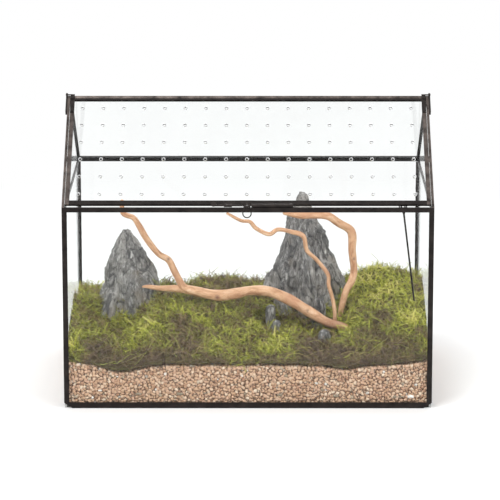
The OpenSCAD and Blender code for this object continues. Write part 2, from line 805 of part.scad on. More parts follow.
// Moss: one lumpy blanket that climbs from the gravel at the front, given by its thickness over the gravel
moss_profile = [
  [0, 3], [5, 10], [14, 15], [28, 20], [48, 30], [68, 37], [90, 41], [120, 42], [160, 40], [190, 32], [215, 22],
  [240, 18], [274, 16]
];
// Mounds and hollows in it: place, height and radius
moss_mounds = [
  [-38, 30, 3, 30], [-34, 80, 6, 40], [-84, 42, -12, 24], [138, 34, 12, 36], [166, 20, 6, 30], [150, 88, 12, 50],
  [-186, 44, -24, 36], [-178, 104, -12, 46], [-178, -32, -20, 30], [-148, -38, -20, 28], [-118, -36, -12, 22],
  [-128, -80, -8, 26], [-168, -84, -6, 26], [-70, -66, 4, 24], [16, -86, -7, 22], [30, -50, -20, 26],
  [54, -34, -14, 24], [84, -72, -18, 26], [80, -40, -16, 24], [18, -24, -8, 22], [150, -70, 7, 28],
  [-186, -106, 6, 20]
];
function mound(m, x, y) = m[2] * exp(-(pow(x - m[0], 2) + pow(y - m[1], 2)) / pow(m[3], 2));
function total(list, i = 0) = i < len(list) ? list[i] + total(list, i + 1) : 0;
function lumps(x, y) = 3.4 * sin(x * 15 + 50 * sin(y * 6)) * sin(y * 14 + 60 * sin(x * 5))
  + 2 * sin(x * 34 + y * 11) * sin(y * 31 - x * 8);
function moss_z(x, y) = let(
    u = x * layout_x / bed_x,
    v = y * layout_y / bed_y,
    d = v + layout_y,
    inward = min(1, d / 30),
    thick = lookup(d, moss_profile) + total([for (m = moss_mounds) mound(m, u, v)])
  ) gravel_z(x, y) + (max(thick, 3 + 6 * inward) + inward * lumps(u, v)) * eave_h / layout_z;
moss_edge = [-92, 12, 60];
module moss(x0, x1, y0, y1) {
  lo = [x0 * bed_x / layout_x, y0 * bed_y / layout_y];
  hi = [x1 * bed_x / layout_x, y1 * bed_y / layout_y];
  columns = round((hi[0] - lo[0]) / moss_cell);
  rows = round((hi[1] - lo[1]) / moss_cell);
  tops = [for (p = grid_points(lo, hi, columns, rows)) [p[0], p[1], moss_z(p[0], p[1])]];
  color(moss_colour) difference() {
    field(lo, hi, columns, rows, tops);
    stones_and_gravel();
    branch_rough();
    branch(twig_path);
    branch(arch_path);
  }
}
module moss_left() {
  moss(-layout_x, moss_edge[0], moss_rim - layout_y, moss_edge[2]);
}
module moss_middle() {
  moss(moss_edge[0], moss_edge[1], moss_rim - layout_y, moss_edge[2]);
}
module moss_right() {
  moss(moss_edge[1], layout_x, moss_rim - layout_y, moss_edge[2]);
}
// Tufts along the back: place, top and radius
back_tufts = [
  for (row = [0 : 1], i = [0 : 9])
    let(x = -178 + 39.5 * i + 5 * row, y = 78 + 36 * row) [x, y, moss_z(x, y) + 2, 30]
];
module tufts(list) {
  for (t = list)
    hull() {
      translate(place([t[0], t[1], t[2] - t[3] * 0.45])) sphere(r = t[3] * 0.45, $fn = 9);
      translate(place([t[0], t[1], t[2] - t[3] * 1.25])) sphere(r = t[3], $fn = 10);
    }
}
module moss_back() {
  color(moss_colour) difference() {
    intersection() {
      tufts(back_tufts);
      inside_tank(-1000, 1000, moss_edge[2], 1000);
    }
    stones_and_gravel();
  }
}

base_front_rail();
base_back_rail();
base_left_rail();
base_right_rail();
front_left_post();
front_right_post();
back_left_post();
back_right_post();
front_eave_rail();
back_eave_rail();
left_eave_rail();
right_eave_rail();
front_left_gable_rail();
front_right_gable_rail();
rear_left_gable_rail();
rear_right_gable_rail();
ridge_rail();
floor_glass();
front_glass();
back_glass();
left_glass();
right_glass();
left_gable_glass();
right_gable_glass();
rear_roof_glass();
lid_head_rail();
lid_foot_rail();
lid_left_rail();
lid_right_rail();
lid_sheet();
left_hinge_bracket();
right_hinge_bracket();
left_hinge_strap();
right_hinge_strap();
latch_sleeve();
ring_lug();
latch_keeper();
latch_bolt();
pull_ring();
stay_bracket();
stay_rod();
gravel_bed();
left_stone();
right_stone();
small_stones();
driftwood_branch();
driftwood_twig();
driftwood_arch();
moss_left();
moss_middle();
moss_right();
moss_back();
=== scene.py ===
"""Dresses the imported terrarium: metal, glass, gravel, stones, driftwood, moss and a studio."""

import math
import random

import bmesh
import bpy
import numpy as np
from bpy.props import FloatProperty, FloatVectorProperty, IntProperty, PointerProperty
from bpy.types import Operator, Panel, PropertyGroup
from mathutils import Matrix, Vector, noise
from mathutils.bvhtree import BVHTree


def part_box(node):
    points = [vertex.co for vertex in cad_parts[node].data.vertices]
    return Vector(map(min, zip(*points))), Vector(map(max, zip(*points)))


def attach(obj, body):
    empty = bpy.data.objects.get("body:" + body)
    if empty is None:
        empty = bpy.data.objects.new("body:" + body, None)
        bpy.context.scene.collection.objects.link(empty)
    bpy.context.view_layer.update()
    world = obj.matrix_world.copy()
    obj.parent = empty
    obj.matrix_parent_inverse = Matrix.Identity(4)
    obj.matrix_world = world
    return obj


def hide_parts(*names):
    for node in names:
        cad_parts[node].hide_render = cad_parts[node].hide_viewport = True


bl_info = {
    "name": "Terrarium dresser",
    "version": (1, 0, 0),
    "blender": (4, 5, 0),
    "location": "3D View > Sidebar > Terrarium",
    "description": "Gives a glass terrarium its metal, glass, gravel, stones, driftwood and moss",
    "category": "Object",
}

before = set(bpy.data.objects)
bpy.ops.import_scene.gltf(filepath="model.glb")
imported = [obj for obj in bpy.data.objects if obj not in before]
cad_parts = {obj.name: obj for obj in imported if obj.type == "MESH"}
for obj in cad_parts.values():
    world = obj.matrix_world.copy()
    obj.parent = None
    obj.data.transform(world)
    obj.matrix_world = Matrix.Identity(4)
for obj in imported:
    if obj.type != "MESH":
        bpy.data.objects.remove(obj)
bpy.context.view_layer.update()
MM = 0.001

TANK = "tank"
LID = "lid"
PANES = (
    "floor_glass", "front_glass", "back_glass", "left_glass", "right_glass",
    "left_gable_glass", "right_gable_glass", "rear_roof_glass",
)
SIDE_PANES = ("left_glass", "right_glass")
LID_SHEET = "lid_sheet"
FITTINGS = (
    "left_hinge_bracket", "right_hinge_bracket", "left_hinge_strap", "right_hinge_strap",
    "latch_sleeve", "ring_lug", "latch_keeper", "latch_bolt", "pull_ring", "stay_bracket",
    "stay_rod",
)
# Strips with a paler rubbed patina, which is partly wear and partly a painted sheen
WORN_SHEEN_STRIPS = (
    "ridge_rail", "front_left_gable_rail", "front_right_gable_rail", "lid_left_rail",
    "lid_right_rail",
)
# How much paler the patina is on these strips: partly rubbed wear, partly a painted sheen on their
# upward faces
WORN_SHEEN_PALER = 3.4
LANDSCAPE = (
    "gravel_bed", "left_stone", "right_stone", "small_stones",
    "driftwood_branch", "driftwood_twig", "driftwood_arch",
    "moss_left", "moss_middle", "moss_right", "moss_back",
)
MOSS = ("moss_left", "moss_middle", "moss_right", "moss_back")

# Dark beads inside the upright corners
SEAM_RADIUS = 1.6 * MM
SEAM_LOW = 45 * MM
SEAM_HIGH = 218 * MM
SEAM_STEPS = 60

# Air holes in the lid's sheet: the radius and thickness of their rims, the largest facet
# of a hole's wall in square metres, and the fewest points that a wall has
VENT_RADIUS = 1.75 * MM
RIM_THICKNESS = 0.45 * MM
VENT_WALL_AREA = 5e-6
VENT_WALL_POINTS = 13

# The room inside the glass, in metres: grains and moss press against these faces
ROOM_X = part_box("left_glass")[1].x * -1 - 0.2 * MM
ROOM_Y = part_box("front_glass")[1].y * -1 - 0.2 * MM
FLOOR_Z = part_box("floor_glass")[1].z


class MetalSettings(PropertyGroup):
    dark: FloatVectorProperty(
        name="Dark patina", description="Colour of the blackened metal", subtype="COLOR",
        size=3, min=0, max=1, default=(0.012, 0.01, 0.01),
    )
    rubbed: FloatVectorProperty(
        name="Rubbed metal", description="Colour where the patina has rubbed thin", subtype="COLOR",
        size=3, min=0, max=1, default=(0.056, 0.046, 0.041),
    )
    grain: FloatProperty(
        name="Blotch size", description="Size of the patina's blotches", unit="LENGTH",
        min=0.001, max=0.1, default=0.012,
    )


class GlassSettings(PropertyGroup):
    tint: FloatVectorProperty(
        name="Glass tint", description="Colour that the panes give to what is seen through them",
        subtype="COLOR", size=3, min=0, max=1, default=(0.985, 0.998, 0.994),
    )
    index: FloatProperty(
        name="Refraction", description="Index of refraction of the panes", min=1, max=2, default=1.2,
    )
    side_index: FloatProperty(
        name="Side refraction", description="Index of refraction of the two side panes",
        min=1, max=2, default=1.02,
    )


class GravelSettings(PropertyGroup):
    spacing: FloatProperty(
        name="Grain spacing", description="Smallest distance between the middles of two grains",
        unit="LENGTH", min=0.002, max=0.01, default=0.0031,
    )
    size_low: FloatProperty(
        name="Smallest grain", description="Radius of the smallest grain", unit="LENGTH",
        min=0.0005, max=0.005, default=0.0015,
    )
    size_high: FloatProperty(
        name="Largest grain", description="Radius of the largest grain", unit="LENGTH",
        min=0.0005, max=0.006, default=0.0022,
    )
    seed: IntProperty(name="Seed", description="Changes how the grains fall", min=0, max=999, default=5)


class StoneSettings(PropertyGroup):
    voxel: FloatProperty(
        name="Stone detail", description="Size of the finest shape in the stones", unit="LENGTH",
        min=0.001, max=0.01, default=0.0017,
    )
    fold: FloatProperty(
        name="Fold depth", description="Depth of the upright folds in the stones", unit="LENGTH",
        min=0, max=0.02, default=0.005,
    )
    seed: IntProperty(name="Seed", description="Changes how the cracks run", min=1, max=999, default=1)


class WoodSettings(PropertyGroup):
    girth: FloatProperty(
        name="Branch radius", description="Radius of the main branch", unit="LENGTH",
        min=0.002, max=0.01, default=0.0054,
    )
    groove: FloatProperty(
        name="Groove depth", description="Depth of the lengthwise grooves, as a share of the radius",
        subtype="FACTOR", min=0, max=0.5, default=0.1,
    )


class MossSettings(PropertyGroup):
    spacing: FloatProperty(
        name="Tuft spacing", description="Smallest distance between two tufts", unit="LENGTH",
        min=0.002, max=0.02, default=0.0036,
    )
    length: FloatProperty(
        name="Frond length", description="Length of an average frond", unit="LENGTH",
        min=0.003, max=0.03, default=0.0095,
    )
    sprig: FloatProperty(
        name="Sprig length", description="Length of the long sprigs that stand out of the moss",
        unit="LENGTH", min=0.005, max=0.05, default=0.0165,
    )
    fresh: FloatVectorProperty(
        name="Fresh moss", description="Colour of the fresh moss", subtype="COLOR",
        size=3, min=0, max=1, default=(0.33, 0.36, 0.035),
    )
    withered: FloatVectorProperty(
        name="Withered moss", description="Colour of the withered moss near the gravel",
        subtype="COLOR", size=3, min=0, max=1, default=(0.19, 0.12, 0.075),
    )
    sink: FloatProperty(
        name="Sink", unit="LENGTH",
        description="How far the blanket lies below the solid's top, to leave room for the fronds",
        min=0, max=0.02, default=0.006,
    )
    seed: IntProperty(name="Seed", description="Changes how the tufts grow", min=0, max=999, default=11)


class StageSettings(PropertyGroup):
    floor: FloatVectorProperty(
        name="Floor", description="Colour of the floor", subtype="COLOR",
        size=3, min=0, max=1, default=(0.93, 0.93, 0.93),
    )
    lens: FloatProperty(
        name="Lens", description="Focal length of the camera on a 36 mm sensor",
        min=50, max=400, default=218.3,
    )


class TerrariumSettings(PropertyGroup):
    metal: PointerProperty(type=MetalSettings)
    glass: PointerProperty(type=GlassSettings)
    gravel: PointerProperty(type=GravelSettings)
    stone: PointerProperty(type=StoneSettings)
    wood: PointerProperty(type=WoodSettings)
    moss: PointerProperty(type=MossSettings)
    stage: PointerProperty(type=StageSettings)


def add_node(tree, kind, attributes=None, **inputs):
    """A node with its attributes set and its sockets given a value or a link."""
    node = tree.nodes.new(kind)
    for name, value in (attributes or {}).items():
        setattr(node, name, value)
    for name, value in inputs.items():
        feed(tree, node, name.replace("_", " "), value)
    return node


def feed(tree, node, name, value):
    """Sets or links one socket, named as in the interface or given by its place."""
    socket = node.inputs[name] if isinstance(name, int) else find_socket(node.inputs, name)
    if isinstance(value, bpy.types.NodeSocket):
        tree.links.new(value, socket)
    else:
        socket.default_value = value


def find_socket(sockets, name):
    for socket in sockets:
        if socket.name.lower() == name.lower() and socket.enabled:
            return socket
    raise RuntimeError(f"no socket named {name}")


def math_node(tree, operation, a, b=None, clamp=False):
    node = tree.nodes.new("ShaderNodeMath")
    node.operation = operation
    node.use_clamp = clamp
    feed(tree, node, 0, a)
    if b is not None:
        feed(tree, node, 1, b)
    return node.outputs[0]


def mix_colour(tree, factor, a, b, mode="MIX"):
    node = tree.nodes.new("ShaderNodeMix")
    node.data_type = "RGBA"
    node.blend_type = mode
    feed(tree, node, 0, factor)
    feed(tree, node, 6, opaque(a))
    feed(tree, node, 7, opaque(b))
    return node.outputs[2]


def opaque(value):
    if isinstance(value, bpy.types.NodeSocket):
        return value
    return tuple(value)[:3] + (1.0,)


def map_range(tree, value, low, high, to_low=0.0, to_high=1.0):
    node = tree.nodes.new("ShaderNodeMapRange")
    node.clamp = True
    feed(tree, node, 0, value)
    for place, number in enumerate((low, high, to_low, to_high), start=1):
        node.inputs[place].default_value = number
    return node.outputs[0]


def colour_ramp(tree, factor, stops):
    node = tree.nodes.new("ShaderNodeValToRGB")
    ramp = node.color_ramp
    while len(ramp.elements) < len(stops):
        ramp.elements.new(0.5)
    for element, (place, colour) in zip(ramp.elements, stops):
        element.position = place
        element.color = opaque(colour)
    feed(tree, node, 0, factor)
    return node.outputs[0]


def object_coordinates(tree, stretch=(1, 1, 1)):
    place = tree.nodes.new("ShaderNodeTexCoord")
    mapping = tree.nodes.new("ShaderNodeMapping")
    mapping.inputs["Scale"].default_value = stretch
    tree.links.new(place.outputs["Object"], mapping.inputs["Vector"])
    return mapping.outputs[0]


def noise_node(tree, vector, scale, detail=4.0, roughness=0.55, distortion=0.0):
    return add_node(
        tree, "ShaderNodeTexNoise", Vector=vector, Scale=scale, Detail=detail,
        Roughness=roughness, Distortion=distortion,
    ).outputs[0]


def add_inputs(tree, inputs):
    """Gives a node group its named inputs, each with a kind and a default or None."""
    for label, kind, default in inputs:
        socket = tree.interface.new_socket(label, in_out="INPUT", socket_type=kind)
        if default is not None:
            socket.default_value = default


def new_group(name, inputs, outputs):
    """A shader node group with its sockets made; returns the tree and its two end nodes."""
    tree = bpy.data.node_groups.new(name, "ShaderNodeTree")
    add_inputs(tree, inputs)
    for label, kind in outputs:
        tree.interface.new_socket(label, in_out="OUTPUT", socket_type=kind)
    return tree, tree.nodes.new("NodeGroupInput"), tree.nodes.new("NodeGroupOutput")


def use_group(tree, group, **inputs):
    node = tree.nodes.new("ShaderNodeGroup")
    node.node_tree = group
    for name, value in inputs.items():
        feed(tree, node, name.replace("_", " "), value)
    return node


def mottle_group():
    """Two colours blended by soft blotches, with a fine and a coarse size."""
    name = "Blotches"
    if name in bpy.data.node_groups:
        return bpy.data.node_groups[name]
    tree, start, end = new_group(
        name,
        [
            ("First", "NodeSocketColor", (0, 0, 0, 1)), ("Second", "NodeSocketColor", (1, 1, 1, 1)),
            ("Scale", "NodeSocketFloat", 50.0), ("Contrast", "NodeSocketFloat", 1.5),
            ("Vector", "NodeSocketVector", None),
        ],
        [("Color", "NodeSocketColor"), ("Mask", "NodeSocketFloat"), ("Fine", "NodeSocketFloat")],
    )
    coarse = noise_node(tree, start.outputs["Vector"], start.outputs["Scale"], 5.0, 0.6)
    fine_scale = math_node(tree, "MULTIPLY", start.outputs["Scale"], 7.0)
    fine = noise_node(tree, start.outputs["Vector"], fine_scale, 3.0, 0.6)
    both = math_node(tree, "ADD", coarse, math_node(tree, "MULTIPLY", fine, 0.25))
    centred = math_node(tree, "SUBTRACT", both, 0.625)
    spread = math_node(tree, "MULTIPLY", centred, start.outputs["Contrast"])
    mask = math_node(tree, "ADD", spread, 0.5, clamp=True)
    colour = mix_colour(tree, mask, start.outputs["First"], start.outputs["Second"])
    tree.links.new(colour, end.inputs["Color"])
    tree.links.new(mask, end.inputs["Mask"])
    tree.links.new(fine, end.inputs["Fine"])
    return tree


def new_material(name):
    material = bpy.data.materials.new(name)
    material.use_nodes = True
    tree = material.node_tree
    tree.nodes.clear()
    end = tree.nodes.new("ShaderNodeOutputMaterial")
    return material, tree, end


def attribute_value(tree, name):
    """The number stored under name on the points of the mesh."""
    return add_node(tree, "ShaderNodeAttribute", {"attribute_name": name}).outputs["Fac"]


def principled(tree, end, **inputs):
    """Adds the surface shader to the material and joins it to the output."""
    shader = add_node(tree, "ShaderNodeBsdfPrincipled", **inputs)
    tree.links.new(shader.outputs[0], end.inputs[0])


def blend_shaders(tree, end, share, first, second):
    """Joins two shaders to the output, the second by the given share."""
    mix = tree.nodes.new("ShaderNodeMixShader")
    tree.links.new(share, mix.inputs[0])
    tree.links.new(first.outputs[0], mix.inputs[1])
    tree.links.new(second.outputs[0], mix.inputs[2])
    tree.links.new(mix.outputs[0], end.inputs[0])


def bump(tree, height, strength, distance):
    return add_node(
        tree, "ShaderNodeBump", Height=height, Strength=strength, Distance=distance,
    ).outputs[0]


def metal_material(name, dark, rubbed, blotch, rub_share):
    material, tree, end = new_material(name)
    place = object_coordinates(tree)
    blotches = use_group(
        tree, mottle_group(), First=opaque(dark), Second=opaque(rubbed), Scale=1 / blotch,
        Contrast=2.2, Vector=place,
    )
    streak = noise_node(tree, object_coordinates(tree, (1, 1, 0.25)), 900.0, 2.0)
    mask = math_node(tree, "MULTIPLY", blotches.outputs["Mask"], rub_share)
    colour = mix_colour(tree, mask, dark, rubbed)
    roughness = map_range(tree, blotches.outputs["Fine"], 0.3, 0.75, 0.28, 0.5)
    principled(
        tree, end, Base_Color=colour, Roughness=roughness, Metallic=0.85,
        Normal=bump(tree, streak, 0.25, 0.0002),
    )
    return material


def glass_material(name, tint, index):
    """Clear glass that lets the lamps' light through to the landscape."""
    material, tree, end = new_material(name)
    smudge = noise_node(tree, object_coordinates(tree), 18.0, 4.0, 0.6)
    colour = mix_colour(tree, map_range(tree, smudge, 0.45, 0.8), tint, [0.985 * c for c in tint])
    shader = add_node(
        tree, "ShaderNodeBsdfPrincipled", Base_Color=colour, Roughness=0.0, IOR=index,
        Metallic=0.0, Transmission_Weight=1.0,
    )
    clear = add_node(tree, "ShaderNodeBsdfTransparent", Color=opaque(tint))
    path = tree.nodes.new("ShaderNodeLightPath")
    through = math_node(tree, "MAXIMUM", path.outputs["Is Shadow Ray"], path.outputs["Is Diffuse Ray"])
    blend_shaders(tree, end, through, shader, clear)
    return material


GRAVEL_TONES = (
    (0.0, (0.38, 0.21, 0.13)), (0.15, (0.52, 0.32, 0.2)), (0.45, (0.66, 0.44, 0.295)),
    (0.7, (0.58, 0.36, 0.25)), (0.88, (0.74, 0.55, 0.4)), (0.965, (0.78, 0.63, 0.49)),
    (0.985, (0.22, 0.18, 0.12)), (0.996, (0.9, 0.86, 0.82)),
)


def grain_material():
    material, tree, end = new_material("gravel grains")
    tone = attribute_value(tree, "tone")
    place = object_coordinates(tree)
    colour = colour_ramp(tree, tone, GRAVEL_TONES)
    speck = noise_node(tree, place, 1400.0, 3.0, 0.7)
    shaded = mix_colour(tree, map_range(tree, speck, 0.4, 0.8, 0.0, 0.5), colour, (0.36, 0.2, 0.13))
    principled(
        tree, end, Base_Color=shaded, Metallic=0.0,
        Roughness=map_range(tree, speck, 0.3, 0.7, 0.5, 0.8), Normal=bump(tree, speck, 0.5, 0.0004),
    )
    return material


def bed_material():
    """The gravel between and below the modelled grains, as packed cells of many tones with painted
    shade in the gaps between them.
    """
    material, tree, end = new_material("packed gravel")
    place = object_coordinates(tree)
    cells = add_node(tree, "ShaderNodeTexVoronoi", {"feature": "F1"}, Vector=place, Scale=330.0)
    edge = add_node(
        tree, "ShaderNodeTexVoronoi", {"feature": "DISTANCE_TO_EDGE"}, Vector=place, Scale=330.0,
    )
    picked = add_node(tree, "ShaderNodeSeparateColor", Color=cells.outputs["Color"]).outputs[0]
    colour = colour_ramp(tree, picked, GRAVEL_TONES)
    # Painted shade in the gaps between the packed grains
    gap = map_range(tree, edge.outputs["Distance"], 0.02, 0.2)
    shaded = mix_colour(tree, gap, (0.1, 0.05, 0.03), colour)
    principled(
        tree, end, Base_Color=shaded, Metallic=0.0, Roughness=0.8,
        Normal=bump(tree, gap, 0.9, 0.001),
    )
    return material


def stone_material():
    material, tree, end = new_material("grey stone")
    upright = object_coordinates(tree, (1, 1, 0.35))
    place = object_coordinates(tree)
    blotches = use_group(
        tree, mottle_group(), First=(0.15, 0.143, 0.137, 1), Second=(0.46, 0.435, 0.41, 1), Scale=70.0,
        Contrast=3.0, Vector=upright,
    )
    veins = add_node(
        tree, "ShaderNodeTexNoise", {"noise_type": "RIDGED_MULTIFRACTAL", "normalize": True},
        Vector=upright, Scale=85.0, Detail=6.0, Roughness=0.65, Distortion=0.8,
    ).outputs[0]
    hollow = attribute_value(tree, "hollow")
    rust = map_range(tree, noise_node(tree, place, 28.0, 3.0), 0.54, 0.7, 0.0, 0.4)
    # Pale white veins, partly a painted highlight on the ridges that the same noise raises in the bump
    pale = map_range(tree, veins, 0.45, 0.85, 0.0, 0.75)
    shade = map_range(tree, noise_node(tree, place, 17.0, 2.0), 0.45, 0.62, 0.0, 0.5)
    colour = mix_colour(tree, shade, blotches.outputs["Color"], (0.085, 0.088, 0.1))
    colour = mix_colour(tree, pale, colour, (0.6, 0.585, 0.57))
    streak = noise_node(tree, object_coordinates(tree, (1, 1, 0.24)), 300.0, 6.0, 0.75, 0.7)
    # Painted shade in the sunken streaks and painted highlight on the raised ones, which the same
    # streaks bump below
    groove_shade = map_range(tree, streak, 0.46, 0.36, 0.0, 0.85)
    ridge_highlight = map_range(tree, streak, 0.53, 0.66, 0.0, 0.8)
    colour = mix_colour(tree, groove_shade, colour, (0.05, 0.048, 0.05))
    colour = mix_colour(tree, ridge_highlight, colour, (0.82, 0.8, 0.78))
    colour = mix_colour(tree, rust, colour, (0.36, 0.28, 0.2))
    # Painted shade darkens the stone in its cracks
    cracks = map_range(tree, hollow, 0.1, 0.9, 0.0, 0.75)
    colour = mix_colour(tree, cracks, colour, (0.035, 0.034, 0.037))
    height = math_node(tree, "ADD", veins, math_node(tree, "MULTIPLY", streak, 1.6))
    principled(
        tree, end, Base_Color=colour, Metallic=0.0, Roughness=0.85,
        Normal=bump(tree, height, 1.0, 0.002),
    )
    return material


def wood_material():
    material, tree, end = new_material("peeled driftwood")
    grain_place = tree.nodes.new("ShaderNodeUVMap")
    grain_place.uv_map = "grain"
    place = object_coordinates(tree)
    streaks = noise_node(tree, grain_place.outputs[0], 5.0, 6.0, 0.65, 0.8)
    patches = noise_node(tree, place, 42.0, 3.0, 0.5)
    knot = attribute_value(tree, "knot")
    colour = colour_ramp(tree, streaks, (
        (0.3, (0.36, 0.17, 0.085)), (0.42, (0.56, 0.3, 0.165)),
        (0.55, (0.7, 0.42, 0.25)), (0.72, (0.82, 0.57, 0.38)),
    ))
    colour = mix_colour(tree, map_range(tree, patches, 0.48, 0.7, 0.0, 0.55), colour, (0.5, 0.23, 0.13))
    colour = mix_colour(tree, map_range(tree, knot, 0.05, 0.9, 0.0, 0.85), colour, (0.17, 0.06, 0.035))
    principled(
        tree, end, Base_Color=colour, Metallic=0.0,
        Roughness=map_range(tree, streaks, 0.3, 0.7, 0.7, 0.5), Normal=bump(tree, streaks, 0.7, 0.001),
    )
    return material


def moss_base_material(withered):
    material, tree, end = new_material("old moss")
    place = object_coordinates(tree)
    # The blanket under the fronds is darker than the withered moss: partly old moss, partly painted
    # shade beneath the fronds
    blotches = use_group(
        tree, mottle_group(), First=opaque([0.4 * c for c in withered]),
        Second=(0.1, 0.1, 0.025, 1), Scale=60.0,
        Contrast=3.0, Vector=place,
    )
    strands = noise_node(tree, place, 600.0, 4.0, 0.7, 1.5)
    straw = map_range(tree, strands, 0.45, 0.8)
    colour = mix_colour(tree, straw, blotches.outputs["Color"], (0.2, 0.165, 0.06))
    principled(
        tree, end, Base_Color=colour, Metallic=0.0, Roughness=0.9,
        Normal=bump(tree, strands, 1.0, 0.002),
    )
    return material


def moss_frond_material(fresh, withered):
    """From withered brown through olive to fresh green and yellow tips; the lighter tips and darker
    bases are partly the moss's own colour and partly painted shade for depth.
    """
    material, tree, end = new_material("moss fronds")
    vigour = attribute_value(tree, "fresh")
    tone = attribute_value(tree, "tone")
    tip = attribute_value(tree, "tip")
    mottle = noise_node(tree, object_coordinates(tree), 220.0, 2.0)
    share = vigour
    # The tip value lightens the tips and darkens the bases: partly the moss's own colour, partly
    # painted shade for depth
    for value, middle, weight in ((tone, 0.5, 0.48), (tip, 0.55, 0.38), (mottle, 0.5, 0.3)):
        swing = math_node(tree, "MULTIPLY", math_node(tree, "SUBTRACT", value, middle), weight)
        share = math_node(tree, "ADD", share, swing)
    colour = colour_ramp(tree, share, (
        (0.0, [0.45 * c for c in withered]), (0.18, withered),
        (0.34, (0.25, 0.18, 0.065)), (0.48, (0.25, 0.245, 0.05)),
        (0.64, fresh), (0.82, (0.56, 0.56, 0.06)), (1.0, (0.8, 0.72, 0.22)),
    ))
    principled(
        tree, end, Base_Color=colour, Metallic=0.0,
        Roughness=map_range(tree, tip, 0.0, 1.0, 0.8, 0.5),
    )
    return material


def strand_material():
    """Dry stalks, straw yellow to green by each one's tone."""
    material, tree, end = new_material("moss strands")
    tone = attribute_value(tree, "tone")
    colour = colour_ramp(tree, tone, (
        (0.0, (0.24, 0.13, 0.06)), (0.35, (0.42, 0.28, 0.12)),
        (0.65, (0.5, 0.46, 0.14)), (1.0, (0.4, 0.46, 0.06)),
    ))
    mottle = noise_node(tree, object_coordinates(tree), 500.0, 2.0)
    colour = mix_colour(tree, map_range(tree, mottle, 0.4, 0.7, 0.0, 0.5), colour, (0.2, 0.14, 0.05))
    principled(tree, end, Base_Color=colour, Metallic=0.0, Roughness=0.6)
    return material


def coordinates(mesh):
    values = np.empty(len(mesh.vertices) * 3, np.float32)
    mesh.vertices.foreach_get("co", values)
    return values.reshape(-1, 3)


def set_coordinates(mesh, values):
    mesh.vertices.foreach_set("co", values.astype(np.float32).ravel())
    mesh.update()


def vertex_normals(mesh):
    values = np.empty(len(mesh.vertices) * 3, np.float32)
    mesh.vertex_normals.foreach_get("vector", values)
    return values.reshape(-1, 3)


def store_values(mesh, name, values):
    attribute = mesh.attributes.get(name) or mesh.attributes.new(name, "FLOAT", "POINT")
    attribute.data.foreach_set("value", np.asarray(values, np.float32))


def add_object(name, mesh):
    piece = bpy.data.objects.new(name, mesh)
    bpy.context.scene.collection.objects.link(piece)
    return piece


def mesh_from(name, vertices, faces):
    mesh = bpy.data.meshes.new(name)
    mesh.from_pydata([tuple(v) for v in vertices], [], [tuple(f) for f in faces])
    mesh.update()
    return mesh


def solid_copy(name, node):
    """A merged copy of a CAD node's mesh, as one object at the origin."""
    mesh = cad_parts[node].data.copy()
    edit = bmesh.new()
    edit.from_mesh(mesh)
    bmesh.ops.remove_doubles(edit, verts=edit.verts, dist=0.01 * MM)
    bmesh.ops.recalc_face_normals(edit, faces=edit.faces)
    edit.to_mesh(mesh)
    edit.free()
    mesh.materials.clear()
    return add_object(name, mesh)


def settle(piece):
    """Turns the modified shape into a plain mesh and takes the modifiers off."""
    bpy.context.view_layer.update()
    graph = bpy.context.evaluated_depsgraph_get()
    mesh = bpy.data.meshes.new_from_object(piece.evaluated_get(graph))
    piece.modifiers.clear()
    piece.data = mesh
    mesh.name = piece.name
    return piece


def press_to_walls(piece, gap=0.0):
    """Keeps every point inside the glass."""
    values = coordinates(piece.data)
    values[:, 0] = np.clip(values[:, 0], -ROOM_X + gap, ROOM_X - gap)
    values[:, 1] = np.clip(values[:, 1], -ROOM_Y + gap, ROOM_Y - gap)
    values[:, 2] = np.maximum(values[:, 2], FLOOR_Z)
    set_coordinates(piece.data, values)


def finish_piece(piece, material, body, slot, *nodes):
    if material is not None:
        piece.data.materials.clear()
        piece.data.materials.append(material)
    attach(piece, body)
    if nodes:
        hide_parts(*nodes)
    return piece


def shade_smooth(piece, smooth=True):
    piece.data.polygons.foreach_set("use_smooth", [smooth] * len(piece.data.polygons))


def join_meshes(name, pieces):
    """One object from several, with their attributes kept."""
    bpy.ops.object.select_all(action="DESELECT")
    for piece in pieces:
        piece.select_set(True)
    bpy.context.view_layer.objects.active = pieces[0]
    bpy.ops.object.join()
    pieces[0].name = name
    pieces[0].data.name = name
    return pieces[0]


def tube_faces(rings, sides, base=0):
    """Quads between rings of points that follow each other, from the vertex base on."""
    faces = []
    for ring in range(rings - 1):
        for side in range(sides):
            a = base + ring * sides + side
            b = base + ring * sides + (side + 1) % sides
            faces.append((a, b, b + sides, a + sides))
    return faces


def tube_caps(rings, sides, base=0):
    """The two flat ends of a tube made of rings."""
    top = base + (rings - 1) * sides
    return [tuple(reversed(range(base, base + sides))), tuple(range(top, top + sides))]


def voxel_skin(piece, voxel, smoothing):
    """Remeshes a closed solid evenly and rounds its edges."""
    remesh = piece.modifiers.new("Skin", "REMESH")
    remesh.mode = "VOXEL"
    remesh.voxel_size = voxel
    if smoothing:
        smooth = piece.modifiers.new("Round", "SMOOTH")
        smooth.iterations = smoothing
        smooth.factor = 0.5
    return settle(piece)


def geometry_tree(name, inputs):
    """A geometry tree with its inputs made; returns it, the sockets of its inputs and its end node."""
    tree = bpy.data.node_groups.new(name, "GeometryNodeTree")
    add_inputs(tree, inputs)
    tree.interface.new_socket("Geometry", in_out="OUTPUT", socket_type="NodeSocketGeometry")
    return tree, tree.nodes.new("NodeGroupInput").outputs, tree.nodes.new("NodeGroupOutput")


def end_tree(tree, end, geometry, finish):
    """Ends a geometry tree with real geometry that has its material."""
    real = add_node(tree, "GeometryNodeRealizeInstances", Geometry=geometry)
    finished = add_node(tree, "GeometryNodeSetMaterial", Geometry=real.outputs[0], Material=finish)
    tree.links.new(finished.outputs[0], end.inputs[0])


